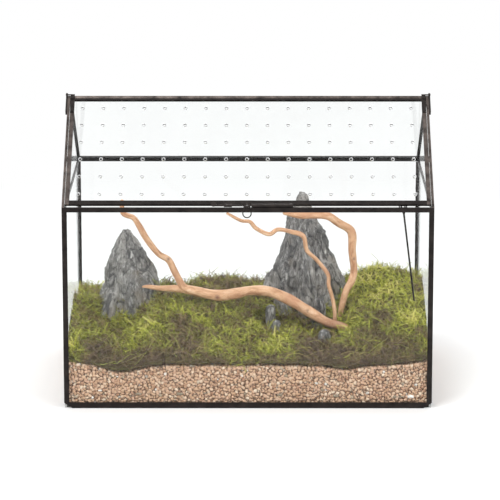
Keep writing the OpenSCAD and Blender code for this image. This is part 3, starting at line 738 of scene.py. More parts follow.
def run_tree(piece, tree, values):
    """Runs a geometry tree on the piece with the given inputs, and keeps the result as a plain mesh."""
    modifier = piece.modifiers.new(tree.name, "NODES")
    modifier.node_group = tree
    sockets = {s.name: s.identifier for s in tree.interface.items_tree if s.in_out == "INPUT"}
    for label, value in values.items():
        modifier[sockets[label]] = value
    settle(piece)
    if not piece.data.polygons:
        raise RuntimeError(f"nothing was made for {piece.name}")
    return piece


# Scattered items per square metre at most, before their spacing thins them
MOST_PER_AREA = 4.0e5


def scatter_tree():
    """Scatters an item over a surface: spacing, sizes, lean towards up, and a tone for each."""
    name = "Scatter"
    if name in bpy.data.node_groups:
        return bpy.data.node_groups[name]
    tree, given, end = geometry_tree(name, (
        ("Geometry", "NodeSocketGeometry", None), ("Item", "NodeSocketObject", None),
        ("Spacing", "NodeSocketFloat", 0.003), ("Smallest", "NodeSocketFloat", 0.8),
        ("Largest", "NodeSocketFloat", 1.2), ("Upwards", "NodeSocketFloat", 0.0),
        ("Disorder", "NodeSocketFloat", 1.0), ("Lowest Facing", "NodeSocketFloat", -2.0),
        ("Seed", "NodeSocketInt", 0), ("Finish", "NodeSocketMaterial", None),
    ))

    def seed(number):
        """A seed of its own for each random choice."""
        node = tree.nodes.new("ShaderNodeMath")
        tree.links.new(given["Seed"], node.inputs[0])
        node.inputs[1].default_value = number * 1000
        return node.outputs[0]

    normal = tree.nodes.new("GeometryNodeInputNormal").outputs[0]
    facing = add_node(tree, "ShaderNodeSeparateXYZ", Vector=normal)
    allowed = add_node(
        tree, "FunctionNodeCompare", {"data_type": "FLOAT", "operation": "GREATER_THAN"},
        A=facing.outputs["Z"], B=given["Lowest Facing"],
    )
    points = add_node(
        tree, "GeometryNodeDistributePointsOnFaces", {"distribute_method": "POISSON"},
        Mesh=given["Geometry"], Selection=allowed.outputs[0], Distance_Min=given["Spacing"],
        Density_Max=MOST_PER_AREA, Seed=given["Seed"],
    )
    stray = add_node(
        tree, "FunctionNodeRandomValue", {"data_type": "FLOAT_VECTOR"},
        Min=(-1, -1, -1), Max=(1, 1, 1), Seed=seed(1),
    ).outputs["Value"]
    lift = add_node(tree, "ShaderNodeCombineXYZ", Z=given["Upwards"]).outputs[0]
    jitter = add_node(
        tree, "ShaderNodeVectorMath", {"operation": "SCALE"}, Vector=stray, Scale=given["Disorder"],
    )
    direction = add_node(tree, "ShaderNodeVectorMath", {"operation": "ADD"})
    tree.links.new(points.outputs["Normal"], direction.inputs[0])
    tree.links.new(lift, direction.inputs[1])
    leaning = add_node(tree, "ShaderNodeVectorMath", {"operation": "ADD"})
    tree.links.new(direction.outputs[0], leaning.inputs[0])
    tree.links.new(jitter.outputs[0], leaning.inputs[1])
    aligned = add_node(
        tree, "FunctionNodeAlignRotationToVector", {"axis": "Z"}, Vector=leaning.outputs[0],
    )
    angle = add_node(
        tree, "FunctionNodeRandomValue", {"data_type": "FLOAT"}, Min=0.0, Max=2 * math.pi, Seed=seed(2),
    )
    angle_value = find_socket(angle.outputs, "Value")
    spin = add_node(tree, "FunctionNodeAxisAngleToRotation", Axis=(0, 0, 1), Angle=angle_value)
    turned = add_node(tree, "FunctionNodeRotateRotation", {"rotation_space": "LOCAL"})
    tree.links.new(aligned.outputs[0], turned.inputs[0])
    tree.links.new(spin.outputs[0], turned.inputs[1])
    size = add_node(
        tree, "FunctionNodeRandomValue", {"data_type": "FLOAT"},
        Min=given["Smallest"], Max=given["Largest"], Seed=seed(3),
    )
    item = add_node(tree, "GeometryNodeObjectInfo", Object=given["Item"])
    placed = add_node(
        tree, "GeometryNodeInstanceOnPoints", Points=points.outputs["Points"],
        Instance=item.outputs["Geometry"], Rotation=turned.outputs[0],
        Scale=find_socket(size.outputs, "Value"),
    )
    tone = add_node(
        tree, "FunctionNodeRandomValue", {"data_type": "FLOAT"}, Min=0.0, Max=1.0, Seed=seed(4),
    )
    toned = add_node(
        tree, "GeometryNodeStoreNamedAttribute", {"data_type": "FLOAT", "domain": "INSTANCE"},
        Geometry=placed.outputs[0], Name="tone", Value=find_socket(tone.outputs, "Value"),
    )
    end_tree(tree, end, toned.outputs[0], given["Finish"])
    return tree


def scatter(name, surface, item, finish, **values):
    """Scatters item over a copy of surface and returns the result as a plain mesh."""
    inputs = {label.replace("_", " "): value for label, value in values.items()}
    piece = add_object(name, surface.data.copy())
    return run_tree(piece, scatter_tree(), {"Item": item, "Finish": finish, **inputs})


def remove_object(piece):
    bpy.data.objects.remove(piece)


def grain_item(seed):
    """A worn pebble of a few dozen faces with a radius of one metre, scaled when scattered."""
    edit = bmesh.new()
    bmesh.ops.create_cube(edit, size=2.0)
    bmesh.ops.subdivide_edges(edit, edges=edit.edges, cuts=1, use_grid_fill=True)
    for vertex in edit.verts:
        direction = vertex.co.normalized()
        lump = noise.noise(direction * 1.4 + Vector((seed, 0, 0)))
        vertex.co = direction * (1 + 0.35 * lump)
        vertex.co.z *= 0.78
        vertex.co.x *= 1.12
    mesh = bpy.data.meshes.new("pebble")
    edit.to_mesh(mesh)
    edit.free()
    piece = add_object("pebble", mesh)
    shade_smooth(piece)
    return piece


# Larger pebbles against the front glass: place across and up in millimetres, radius and tone
ODD_PEBBLES = (
    (-118.6, 15, 3.2, 0.985), (-74, 15, 3.6, 0.985), (34.9, 14, 3.0, 0.985),
    (95.8, 13, 3.4, 0.985), (159, 12, 3.0, 0.985), (168, 12, 2.2, 0.985), (177.5, 12, 4.0, 1.0),
    (-46.8, 16, 1.8, 0.985), (-161, 19, 2.0, 1.0),
)
PEBBLE_FLATTENING = (1, 0.5, 0.7)


def odd_pebbles(item):
    """The few dark and pale pebbles that stand out low at the front."""
    made = []
    for number, (x, z, radius, tone) in enumerate(ODD_PEBBLES):
        mesh = item.data.copy()
        points = coordinates(mesh)
        place = np.array((x * MM, -ROOM_Y + 0.45 * radius * MM, z * MM))
        points = points * (radius * MM) * PEBBLE_FLATTENING + place
        set_coordinates(mesh, points)
        store_values(mesh, "tone", [tone] * len(points))
        made.append(add_object(f"odd_pebble_{number}", mesh))
    return join_meshes("gravel_odd_pebbles", made)


def split_faces(piece, name, keep):
    """A copy of piece with only the faces whose centre and normal pass the test."""
    edit = bmesh.new()
    edit.from_mesh(piece.data)
    gone = [f for f in edit.faces if not keep(f.calc_center_median(), f.normal)]
    bmesh.ops.delete(edit, geom=gone, context="FACES")
    mesh = bpy.data.meshes.new(name)
    edit.to_mesh(mesh)
    edit.free()
    return add_object(name, mesh)


class TERRARIUM_OT_gravel(Operator):
    """Lays loose grains over the gravel bed"""

    bl_idname = "terrarium.gravel"
    bl_label = "Lay the gravel"

    def execute(self, context):
        values = context.scene.terrarium.gravel
        bed = solid_copy("gravel_bed_packed", "gravel_bed")
        low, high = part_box("gravel_bed")
        points = coordinates(bed.data)
        inset, rim = values.size_high * 0.9, 30 * MM
        points[:, 0] *= (high.x - inset) / high.x
        points[:, 1] *= (high.y - inset) / high.y
        on_top = points[:, 2] > low.z + MM
        points[on_top, 2] -= inset * 0.8
        set_coordinates(bed.data, points)
        grains = grain_material()
        item = grain_item(values.seed)
        sides = {
            "gravel_front": lambda c, n: n.y < -0.7,
            "gravel_back": lambda c, n: n.y > 0.7,
            "gravel_sides": lambda c, n: abs(n.x) > 0.7,
            "gravel_top": lambda c, n: (
                n.z > 0.5 and (abs(c.x) > high.x - rim or abs(c.y) > high.y - rim)
            ),
        }
        for number, (name, keep) in enumerate(sides.items()):
            face = split_faces(bed, name + "_face", keep)
            piece = scatter(
                name, face, item, grains, Spacing=values.spacing, Smallest=values.size_low,
                Largest=values.size_high, Disorder=3.0, Seed=values.seed + number,
            )
            press_to_walls(piece)
            finish_piece(piece, None, TANK, "gravel", "gravel_bed")
            remove_object(face)
        odd = odd_pebbles(item)
        press_to_walls(odd)
        finish_piece(odd, grains, TANK, "gravel", "gravel_bed")
        remove_object(item)
        finish_piece(bed, bed_material(), TANK, "gravel", "gravel_bed")
        return {"FINISHED"}


# Each stone's node, how often its edges are rounded, and its share of the fold depth
STONES = (("left_stone", 6, 1.0), ("right_stone", 6, 1.0), ("small_stones", 3, 0.75))
# Waves that bend the cracks: how close (per millimetre) and how far in millimetres
CRACK_BENDS = ((0.035, 8), (0.11, 2.5))
# Cracks in the stones: how close (per millimetre), how drawn out upwards, how deep,
# and how wide a share gets painted shade
CRACKS = ((0.042, 0.24, 0.75, 0.09), (0.1, 0.26, 0.45, 0.15), (0.24, 0.3, 0.2, 0.24))


def crack_distance(point, scale, stretch):
    """Nought in a crack and rising to about one in the middle of the lobe beside it."""
    sample = Vector((point.x * scale, point.y * scale, point.z * scale * stretch))
    return abs(noise.noise(sample)) * 2


def carve_stone(piece, fold, seed):
    """Lobes parted by thin upright cracks in three sizes, with slabs that step over each other, and
    painted shade stored along the cracks.
    """
    shift = Vector((seed * 137.0, seed * 71.0, seed * 33.0))
    mesh = piece.data
    points, normals = coordinates(mesh), vertex_normals(mesh)
    hollow = np.zeros(len(points))
    for i, (p, n) in enumerate(zip(points, normals)):
        q = Vector(p) * 1000 + shift
        bent = q
        for scale, reach in CRACK_BENDS:
            bent = bent + noise.noise_vector(q * scale) * reach
        coarse = noise.noise(Vector((q.x * 0.03, q.y * 0.03, q.z * 0.022)))
        ledge = noise.cell(Vector((bent.x * 0.06, bent.y * 0.06, bent.z * 0.04)))
        depth, dark = 0.7 * coarse + 0.25 * (ledge - 0.5) + 0.1 * noise.noise(q * 0.7), 0.0
        # dark gathers painted shade in each crack
        for scale, stretch, height, width in CRACKS:
            lobe = crack_distance(bent + Vector((scale * 900, 0, 0)), scale, stretch)
            depth += height * (min(lobe, 0.6) - 0.3)
            dark += 2.2 * height * max(1 - lobe / width, 0)
        points[i] += n * fold * depth
        hollow[i] = dark
    set_coordinates(mesh, points)
    store_values(mesh, "hollow", np.clip(hollow, 0, 1))


class TERRARIUM_OT_stones(Operator):
    """Carves the crags and the small stones"""

    bl_idname = "terrarium.stones"
    bl_label = "Carve the stones"

    def execute(self, context):
        values = context.scene.terrarium.stone
        noise.seed_set(values.seed)
        stone = stone_material()
        for seed, (node, rounding, share) in enumerate(STONES, start=1):
            piece = solid_copy(node + "_carved", node)
            voxel_skin(piece, values.voxel, rounding)
            carve_stone(piece, values.fold * share, seed)
            shade_smooth(piece)
            press_to_walls(piece)
            finish_piece(piece, stone, TANK, "stone", node)
        return {"FINISHED"}


# Points that each piece of wood follows, in millimetres, with its radius as a share of the branch's
BRANCH_PATH = (
    (-117, -45, 113, 0.22), (-110, -45, 113, 0.4), (-100, -45, 111.5, 0.5), (-88, -45, 111, 0.66),
    (-76, -46, 111, 0.9), (-64, -48, 110, 1.0), (-36, -52, 105, 1.15), (-15, -52, 107, 1.05),
    (2, -50, 110, 1.0), (23, -50, 109, 1.05), (44, -52, 101, 1.1), (65, -56, 89, 1.08),
    (86, -60, 77, 1.0), (103, -62, 72, 0.9), (118, -60, 66, 0.6),
)
FORK_PATH = (
    (-62, -48, 108, 0.85), (-72, -48, 114, 0.8), (-81, -50, 131, 0.68), (-88, -52, 145, 0.66),
    (-99, -55, 153, 0.64), (-111, -60, 170, 0.62), (-120, -64, 187, 0.6), (-126, -66, 196, 0.58),
    (-137, -70, 202, 0.52), (-138, -72, 216, 0.4),
)
TWIG_PATH = (
    (-23, -75, 203, 0.25), (-8, -70, 194, 0.35), (2, -68, 192, 0.4), (9, -66, 184, 0.42),
    (23, -64, 177, 0.45), (33, -62, 182, 0.45), (48, -60, 179, 0.45), (61, -60, 174, 0.46),
    (65, -60, 158, 0.44), (76, -60, 147, 0.44), (88, -60, 131, 0.42), (89, -60, 119, 0.42),
    (93, -60, 105, 0.42), (96, -60, 89, 0.42), (96, -61, 76, 0.4),
)
ARCH_PATH = (
    (40, -35, 195, 0.5), (59, -35, 192, 0.7), (86, -30, 191, 0.78), (101, -25, 181, 0.85),
    (115, -20, 170, 0.85), (116, -20, 149, 0.8), (117, -20, 139, 0.8), (118, -20, 124, 0.78),
    (115, -25, 114, 0.75), (109, -30, 104, 0.7), (104, -34, 84, 0.6), (102, -36, 66, 0.5),
)
# Dark reddish stains on the wood: place and reach in millimetres, and strength
STAINS = (
    (97, -62, 73, 24, 0.75), (60, -52, 84, 20, 0.45), (-14, -48, 96, 13, 0.35),
    (92, -60, 108, 12, 0.3),
)
# Knots in the wood: place and size in millimetres
KNOTS = ((-34, -57.5, 104, 3.2), (-88, -55, 147, 2.2), (66, -62, 90, 2.0), (118, -24, 140, 2.2))
# Distance between the points along the wood, in millimetres, and how far its ends draw in
WOOD_STEP = 1.6
END_SHARE = 0.55


def smooth_path(points, step):
    """Catmull-Rom points through the given ones, about step apart, with their radii."""
    p = [np.array(v, float) for v in points]
    p = [2 * p[0] - p[1]] + p + [2 * p[-1] - p[-2]]
    made = []
    for a, b, c, d in zip(p, p[1:], p[2:], p[3:]):
        count = max(2, int(np.linalg.norm((c - b)[:3]) / step))
        for k in range(count):
            t = k / count
            square, cube = 2 * a - 5 * b + 4 * c - d, 3 * b - a - 3 * c + d
            made.append(0.5 * (2 * b + (c - a) * t + square * t * t + cube * t ** 3))
    made.append(p[-2])
    return np.array(made)


def wood_ring(centre, side, up, radius, along, groove, seed, sides):
    """The points around the wood at one place, with its grooves and swellings."""
    swell = noise.noise(Vector((seed, 3.3, along * 0.06)))
    ring = []
    for k in range(sides):
        angle = 2 * math.pi * k / sides
        c, s = math.cos(angle), math.sin(angle)
        wide = noise.noise(Vector((c * 0.9 + seed, s * 0.9, along * 0.028)))
        fine = noise.noise(Vector((c * 2.6 + seed, s * 2.6, along * 0.05)))
        r = radius * (1 + groove * (1.3 * wide + 0.6 * fine) + 0.12 * swell)
        ring.append(centre + side * c * r + up * s * r)
    return ring


def wood_tube(name, path, girth, groove, seed, sides=22):
    """A branch with lengthwise grooves, closed rounded ends and a grain map along its length."""
    line = smooth_path(path, WOOD_STEP)
    centres, radii = line[:, :3], line[:, 3] * girth * 1000
    tangents = np.gradient(centres, axis=0)
    tangents /= np.linalg.norm(tangents, axis=1)[:, None]
    side = np.cross(tangents[0], (0, 1, 0))
    side /= np.linalg.norm(side)
    rings, along = [], 0.0
    for i, (centre, radius, tangent) in enumerate(zip(centres, radii, tangents)):
        side = side - tangent * side.dot(tangent)
        side /= np.linalg.norm(side)
        up = np.cross(tangent, side)
        if i:
            along += np.linalg.norm(centre - centres[i - 1])
        rings.append((along, wood_ring(centre, side, up, radius, along, groove, seed, sides)))
    vertices, faces, grain = [], [], []
    first, last = rings[0], rings[-1]
    start = shrink_ring(first[1], centres[0] - tangents[0] * radii[0] * 0.5, END_SHARE)
    finish = shrink_ring(last[1], centres[-1] + tangents[-1] * radii[-1] * 0.5, END_SHARE)
    closed = [(first[0] - 1, start)] + rings + [(last[0] + 1, finish)]
    for along, ring in closed:
        vertices += [np.array(v) * MM for v in ring]
    faces += tube_faces(len(closed), sides)
    for j in range(len(closed) - 1):
        grain += [((k, j), (k + 1, j), (k + 1, j + 1), (k, j + 1)) for k in range(sides)]
    start_centre = len(vertices)
    vertices.append((centres[0] - tangents[0] * radii[0] * 0.7) * MM)
    vertices.append((centres[-1] + tangents[-1] * radii[-1] * 0.7) * MM)
    top = (len(closed) - 1) * sides
    for k in range(sides):
        faces.append((start_centre, (k + 1) % sides, k))
        grain.append(((k, 0), (k + 1, 0), (k, 0)))
        faces.append((start_centre + 1, top + k, top + (k + 1) % sides))
        grain.append(((k, len(closed) - 1),) * 3)
    mesh = mesh_from(name, vertices, faces)
    layer = mesh.uv_layers.new(name="grain")
    distance = [d for d, _ in closed]
    flat = [c for corners in grain for c in corners]
    for loop, (k, j) in zip(layer.data, flat):
        loop.uv = (k / sides, distance[j] * 0.012)
    piece = add_object(name, mesh)
    edit = bmesh.new()
    edit.from_mesh(mesh)
    bmesh.ops.recalc_face_normals(edit, faces=edit.faces)
    edit.to_mesh(mesh)
    edit.free()
    mark_knots(piece)
    shade_smooth(piece)
    return piece


def shrink_ring(ring, centre, share):
    middle = sum(ring) / len(ring)
    return [centre + (v - middle) * share for v in ring]


def mark_knots(piece):
    points = coordinates(piece.data)
    marks = np.zeros(len(points))
    for x, y, z, size in KNOTS:
        away = np.linalg.norm(points / MM - np.array((x, y, z)), axis=1)
        marks = np.maximum(marks, np.clip(1.2 - away / size, 0, 1))
    for x, y, z, size, strength in STAINS:
        away = np.linalg.norm(points / MM - np.array((x, y, z)), axis=1)
        marks = np.maximum(marks, strength * np.clip(1 - away / size, 0, 1))
    store_values(piece.data, "knot", marks)


class TERRARIUM_OT_driftwood(Operator):
    """Grows the driftwood along its paths"""

    bl_idname = "terrarium.driftwood"
    bl_label = "Shape the driftwood"

    def execute(self, context):
        values = context.scene.terrarium.wood
        wood = wood_material()
        girth, groove = values.girth, values.groove
        main = wood_tube("main", BRANCH_PATH, girth, groove, 1.0)
        fork = wood_tube("fork", FORK_PATH, girth, groove, 2.0)
        branch = join_meshes("driftwood_branch_wood", [main, fork])
        twig = wood_tube("driftwood_twig_wood", TWIG_PATH, girth, groove, 3.0, 14)
        arch = wood_tube("driftwood_arch_wood", ARCH_PATH, girth, groove, 4.0, 18)
        finish_piece(branch, wood, TANK, "driftwood", "driftwood_branch")
        finish_piece(twig, wood, TANK, "driftwood", "driftwood_twig")
        finish_piece(arch, wood, TANK, "driftwood", "driftwood_arch")
        return {"FINISHED"}


# Patches of fresh and withered moss: place in millimetres, reach, and how much fresher than the rest
MOSS_PATCHES = (
    (-125, -80, 81, 24, 0.34), (-96, -108, 74, 19, 0.34), (-140, -112, 72, 15, 0.3),
    (181, -70, 87, 22, 0.34), (-156, -128, 57, 22, -0.42), (-96, -128, 56, 30, -0.45),
    (-67, -95, 80, 17, -0.3), (24, -105, 73, 22, 0.26), (46, -116, 64, 15, 0.24),
    (60, -130, 50, 36, -0.3), (112, -100, 77, 20, 0.16), (89, -124, 58, 20, -0.3),
    (150, -126, 56, 34, -0.28), (148, -10, 100, 32, 0.26), (132, 30, 114, 26, 0.2),
    (152, -62, 88, 15, -0.2), (-194, -120, 66, 15, 0.3), (-36, -100, 77, 18, 0.1),
    (-30, 34, 108, 44, -0.12), (-60, -70, 90, 16, 0.2),
)
# Long stalks that lie on the moss, from and to a place in millimetres, with a tone
STALKS = (
    (92, -122, 55, 144, -100, 74, 0.75), (60, -120, 60, 101, -104, 70, 0.6),
    (-161, -130, 56, -108, -100, 80, 0.95), (-128, -130, 55, -96, -96, 80, 0.9),
    (-63, -124, 62, -40, -90, 82, 0.3), (-96, -116, 70, -40, -118, 62, 0.85),
    (-40, -106, 76, 2, -112, 66, 0.4), (120, -118, 62, 165, -96, 80, 0.8),
    (-150, -70, 86, -100, -62, 90, 0.5),
)


def freshness(points):
    """How fresh the moss is at each point in metres: nought is withered, one is the freshest."""
    x, y, z = (points / MM).T
    # Waves of two sizes, a browner foot along the front glass, and then the patches
    values = 0.43 + 0.17 * np.sin(x * 0.11 + 1.3 * np.sin(y * 0.07)) * np.sin(y * 0.13 + z * 0.06)
    values += 0.1 * np.sin(x * 0.29 + z * 0.21) * np.sin(y * 0.23 - x * 0.07 + 2)
    values -= 0.16 * np.clip(1 - (z - 48) / 12, 0, 1) * (y < -90)
    for px, py, pz, reach, amount in MOSS_PATCHES:
        away = (x - px) ** 2 + ((y - py) * 0.6) ** 2 + (z - pz) ** 2
        values += 1.2 * amount * np.exp(-away / reach ** 2)
    return np.clip(values, 0, 1)


# A frond's stem: its parts and its width as a share of its length, then the size of its leaflets
STEM_STEPS = 3
STEM_WIDTH = 0.018
LEAFLET_WIDTH = 0.5 * MM
LEAFLET_LENGTH = 1.9 * MM


def frond(length, bend, leaves, spread, turn, lean):
    """One feathery frond: a thin stem with paired leaflets; returns vertices, faces and tip values."""
    vertices, faces, tips = [], [], []
    steps = STEM_STEPS
    matrix = Matrix.Rotation(turn, 3, "Z") @ Matrix.Rotation(lean, 3, "Y")
    width = length * STEM_WIDTH

    def spine(t):
        return Vector((bend * length * t * t, 0, length * t * (1 - 0.25 * bend * t)))

    for k in range(steps + 1):
        t = k / steps
        thin = width * (1 - 0.8 * t)
        for s in (-1, 1):
            vertices.append(matrix @ (spine(t) + Vector((0, s * thin, 0))))
            tips.append(t)
    for k in range(steps):
        a = 2 * k
        faces.append((a, a + 1, a + 3, a + 2))
    for k in range(leaves):
        t = 0.15 + 0.8 * k / leaves
        reach = spread * (1.1 - 0.7 * t)
        root, above = spine(t), spine(min(t + LEAFLET_WIDTH / length, 1))
        for s in (-1, 1):
            base = len(vertices)
            end = root + Vector((0.2 * reach * (1 + s * 0.5), s * reach, 0.8 * reach))
            for point, value in ((root, t), (above, t), (end, min(t + 0.35, 1))):
                vertices.append(matrix @ point)
                tips.append(value)
            faces.append((base, base + 1, base + 2))
    return vertices, faces, tips


def tuft_item(name, count, length, leaves, lean, seed):
    """Fronds leaning apart from one root."""
    rng = random.Random(seed)
    vertices, faces, tips = [], [], []
    for k in range(count):
        made, sides, ends = frond(
            length * rng.uniform(0.7, 1.15), rng.uniform(0.3, 0.8), leaves, LEAFLET_LENGTH,
            k * 2.1 + rng.uniform(-0.4, 0.4), rng.uniform(0.3, 1.0) * lean,
        )
        faces += [tuple(i + len(vertices) for i in f) for f in sides]
        vertices += made
        tips += ends
    mesh = mesh_from(name, vertices, faces)
    store_values(mesh, "tip", tips)
    return add_object(name, mesh)


# Lumps in the blanket: how close (per millimetre) and how high
LUMPS = ((0.06, 0.8), (0.16, 0.7), (0.4, 0.35))


def lump_moss(piece, depth, seed):
    """Small lumps over the blanket, so that no smooth dome shows between the fronds."""
    mesh = piece.data
    points, normals = coordinates(mesh), vertex_normals(mesh)
    for i, (p, n) in enumerate(zip(points, normals)):
        q = Vector(p) * 1000 + Vector((seed * 31, 0, 0))
        rise = sum(noise.noise(q * scale) * height for scale, height in LUMPS) - 0.5
        points[i] += n * depth * rise
    set_coordinates(mesh, points)


# The most that the blanket sinks, as a share of its height
SINK_SHARE = 0.4
# Hollows where the moss lies lower beside the stones: place, reach and how much lower, in millimetres
MOSS_HOLLOWS = ((-166, -88, 20, 9), (-150, -70, 16, 6), (-128, -96, 14, 3))


def sink_blanket(piece, ground, depth):
    """Lowers the blanket by depth, or by a part of its height over the gravel where it is thin."""
    points = coordinates(piece.data)
    for i, p in enumerate(points):
        hit = ground.ray_cast(Vector(p) + Vector((0, 0, MM)), Vector((0, 0, -1)))[0]
        if hit is None:
            continue
        height = p[2] - hit.z
        extra = sum(
            low * MM * math.exp(-((p[0] / MM - x) ** 2 + (p[1] / MM - y) ** 2) / reach ** 2)
            for x, y, reach, low in MOSS_HOLLOWS
        )
        points[i][2] -= min(depth + extra, SINK_SHARE * height)
    set_coordinates(piece.data, points)


def surface_tree(pieces):
    vertices, faces = [], []
    for piece in pieces:
        faces += [[i + len(vertices) for i in f.vertices] for f in piece.data.polygons]
        vertices += [v.co.copy() for v in piece.data.vertices]
    return BVHTree.FromPolygons(vertices, faces)


def lay_stalk(tree, a, b, sway, lift):
    """Points from a to b in millimetres, each dropped on the moss, with the middle standing off it."""
    path = []
    steps = max(6, int((b - a).length / 4))
    across = (b - a).cross(Vector((0, 0, 1))).normalized()
    for k in range(steps + 1):
        t = k / steps
        p = a.lerp(b, t) + across * sway * math.sin(math.pi * t * 1.6)
        hit = tree.ray_cast(Vector((p.x * MM, p.y * MM, 0.21)), Vector((0, 0, -1)))
        if hit[0] is None:
            break
        path.append(hit[0] / MM + Vector((0, -0.5, lift * (0.35 + math.sin(math.pi * t)))))
    return path


def stalk_mesh(path, thick):
    """A thin round stalk along a path in millimetres."""
    vertices, sides = [], 5
    for k, p in enumerate(path):
        ahead, behind = path[min(k + 1, len(path) - 1)], path[max(k - 1, 0)]
        forward = (ahead - behind).normalized()
        side = forward.cross(Vector((0, 0, 1))).normalized()
        up = side.cross(forward)
        radius = thick * (1 - 0.6 * k / len(path))
        for j in range(sides):
            angle = 2 * math.pi * j / sides
            vertices.append((p + (side * math.cos(angle) + up * math.sin(angle)) * radius) * MM)
    return vertices, tube_faces(len(path), sides) + tube_caps(len(path), sides)


SHORT_STALKS = 150


def moss_stalks(tree, seed):
    """All the long stalks as one piece, with a tone for each."""
    rng = random.Random(seed)
    routes = [(Vector(s[:3]), Vector(s[3:6]), 3.0, 2.2, 0.5, s[6]) for s in STALKS]
    for _ in range(SHORT_STALKS):
        start = Vector((rng.uniform(-190, 190), rng.uniform(-130, 125), 0))
        angle, length = rng.uniform(0, 2 * math.pi), rng.uniform(14, 42)
        end = start + Vector((math.cos(angle), math.sin(angle) * 0.7, 0)) * length
        end = Vector((min(max(end.x, -193), 193), min(max(end.y, -133), 133), 0))
        sway, lift, thick = rng.uniform(-4, 4), rng.uniform(1.0, 4.0), rng.uniform(0.25, 0.45)
        routes.append((start, end, sway, lift, thick, rng.random()))
    vertices, faces, tones = [], [], []
    for a, b, sway, lift, thick, tone in routes:
        path = lay_stalk(tree, a, b, sway, lift)
        if len(path) < 4:
            continue
        made, sides = stalk_mesh(path, thick)
        faces += [tuple(i + len(vertices) for i in f) for f in sides]
        vertices += made
        tones += [tone] * len(made)
    mesh = mesh_from("moss_stalks", vertices, faces)
    store_values(mesh, "tone", tones)
    return add_object("moss_stalks", mesh)


BLANKET_VOXEL = 2.4 * MM
LUMP_DEPTH = 3.0 * MM


def in_back_corner(centre, normal):
    """True for the top of the gravel near the back left corner."""
    return normal.z > 0.4 and centre.x < -0.12 and centre.y > -0.02


def grow(name, surface, item, material, node, fresher=0.0, **values):
    """Scatters fronds over a surface, coloured by the freshness of their place."""
    piece = scatter(name, surface, item, material, **values)
    store_values(piece.data, "fresh", freshness(coordinates(piece.data)) + fresher)
    press_to_walls(piece)
    finish_piece(piece, None, TANK, "moss", node)


class TERRARIUM_OT_moss(Operator):
    """Grows the moss blanket with its fronds, sprigs, strands and stalks"""

    bl_idname = "terrarium.moss"
    bl_label = "Grow the moss"

    def execute(self, context):
        values = context.scene.terrarium.moss
        old = moss_base_material(values.withered)
        green = moss_frond_material(values.fresh, values.withered)
        gap = values.spacing
        tuft = tuft_item("moss_tuft", 3, values.length, 7, 0.7, values.seed)
        sprig = tuft_item("moss_sprig", 2, values.sprig, 12, 0.9, values.seed + 1)
        strand = tuft_item("moss_strand", 3, values.sprig * 0.8, 0, 1.6, values.seed + 2)
        blankets = []
        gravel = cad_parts["gravel_bed"]
        ground = surface_tree([gravel])
        for number, node in enumerate(MOSS):
            seed = values.seed + number
            blanket = solid_copy(node + "_blanket", node)
            voxel_skin(blanket, BLANKET_VOXEL, 4)
            sink_blanket(blanket, ground, values.sink)
            lump_moss(blanket, LUMP_DEPTH, number)
            press_to_walls(blanket, 0.1 * MM)
            shade_smooth(blanket)
            blankets.append(blanket)
            grow(
                node + "_fronds", blanket, tuft, green, node, Spacing=gap, Smallest=0.55, Largest=1.2,
                Upwards=0.5, Disorder=0.8, Lowest_Facing=-0.35, Seed=seed,
            )
            grow(
                node + "_sprigs", blanket, sprig, green, node, Spacing=gap * 2.2, Smallest=0.55,
                Largest=1.5, Upwards=0.8, Disorder=0.8, Lowest_Facing=-0.35, Seed=seed,
            )
            if node != "moss_back":
                front = split_faces(blanket, node + "_front", lambda c, n: n.y < -0.5)
                grow(
                    node + "_strands", front, strand, green, node, 0.06, Spacing=gap * 0.75,
                    Smallest=0.6, Largest=1.3, Disorder=0.3, Seed=seed,
                )
                remove_object(front)
        corner = split_faces(gravel, "corner_ground", in_back_corner)
        grow(
            "moss_left_corner", corner, tuft, green, "moss_left", Spacing=gap * 0.9, Smallest=0.7,
            Largest=1.5, Upwards=0.4, Disorder=0.9, Seed=values.seed,
        )
        remove_object(corner)
        stalks = moss_stalks(surface_tree(blankets), values.seed)
        press_to_walls(stalks, 0.1 * MM)
        finish_piece(stalks, strand_material(), TANK, "moss", *MOSS)
        for node, blanket in zip(MOSS, blankets):
            finish_piece(blanket, old, TANK, "moss", node)
        for item in (tuft, sprig, strand):
            remove_object(item)
        return {"FINISHED"}


def corner_seams():
    """Dark beads inside the four upright corners, from below the gravel's top to the eaves."""
    vertices, faces, sides = [], [], 8
    for sx in (-1, 1):
        for sy in (-1, 1):
            base, steps = len(vertices), SEAM_STEPS
            for k in range(steps + 1):
                z = SEAM_LOW + (SEAM_HIGH - SEAM_LOW) * k / steps
                radius = SEAM_RADIUS * (1 + 0.22 * noise.noise(Vector((sx * 9, sy * 5, z * 190))))
                for j in range(sides):
                    angle = 2 * math.pi * j / sides
                    x = sx * (ROOM_X - 0.5 * SEAM_RADIUS) + radius * math.cos(angle)
                    y = sy * (ROOM_Y - 0.5 * SEAM_RADIUS) + radius * math.sin(angle)
                    vertices.append((min(max(x, -ROOM_X), ROOM_X), min(max(y, -ROOM_Y), ROOM_Y), z))
            faces += tube_faces(steps + 1, sides, base) + tube_caps(steps + 1, sides, base)
    piece = add_object("corner_seams", mesh_from("corner_seams", vertices, faces))
    shade_smooth(piece)
    return piece


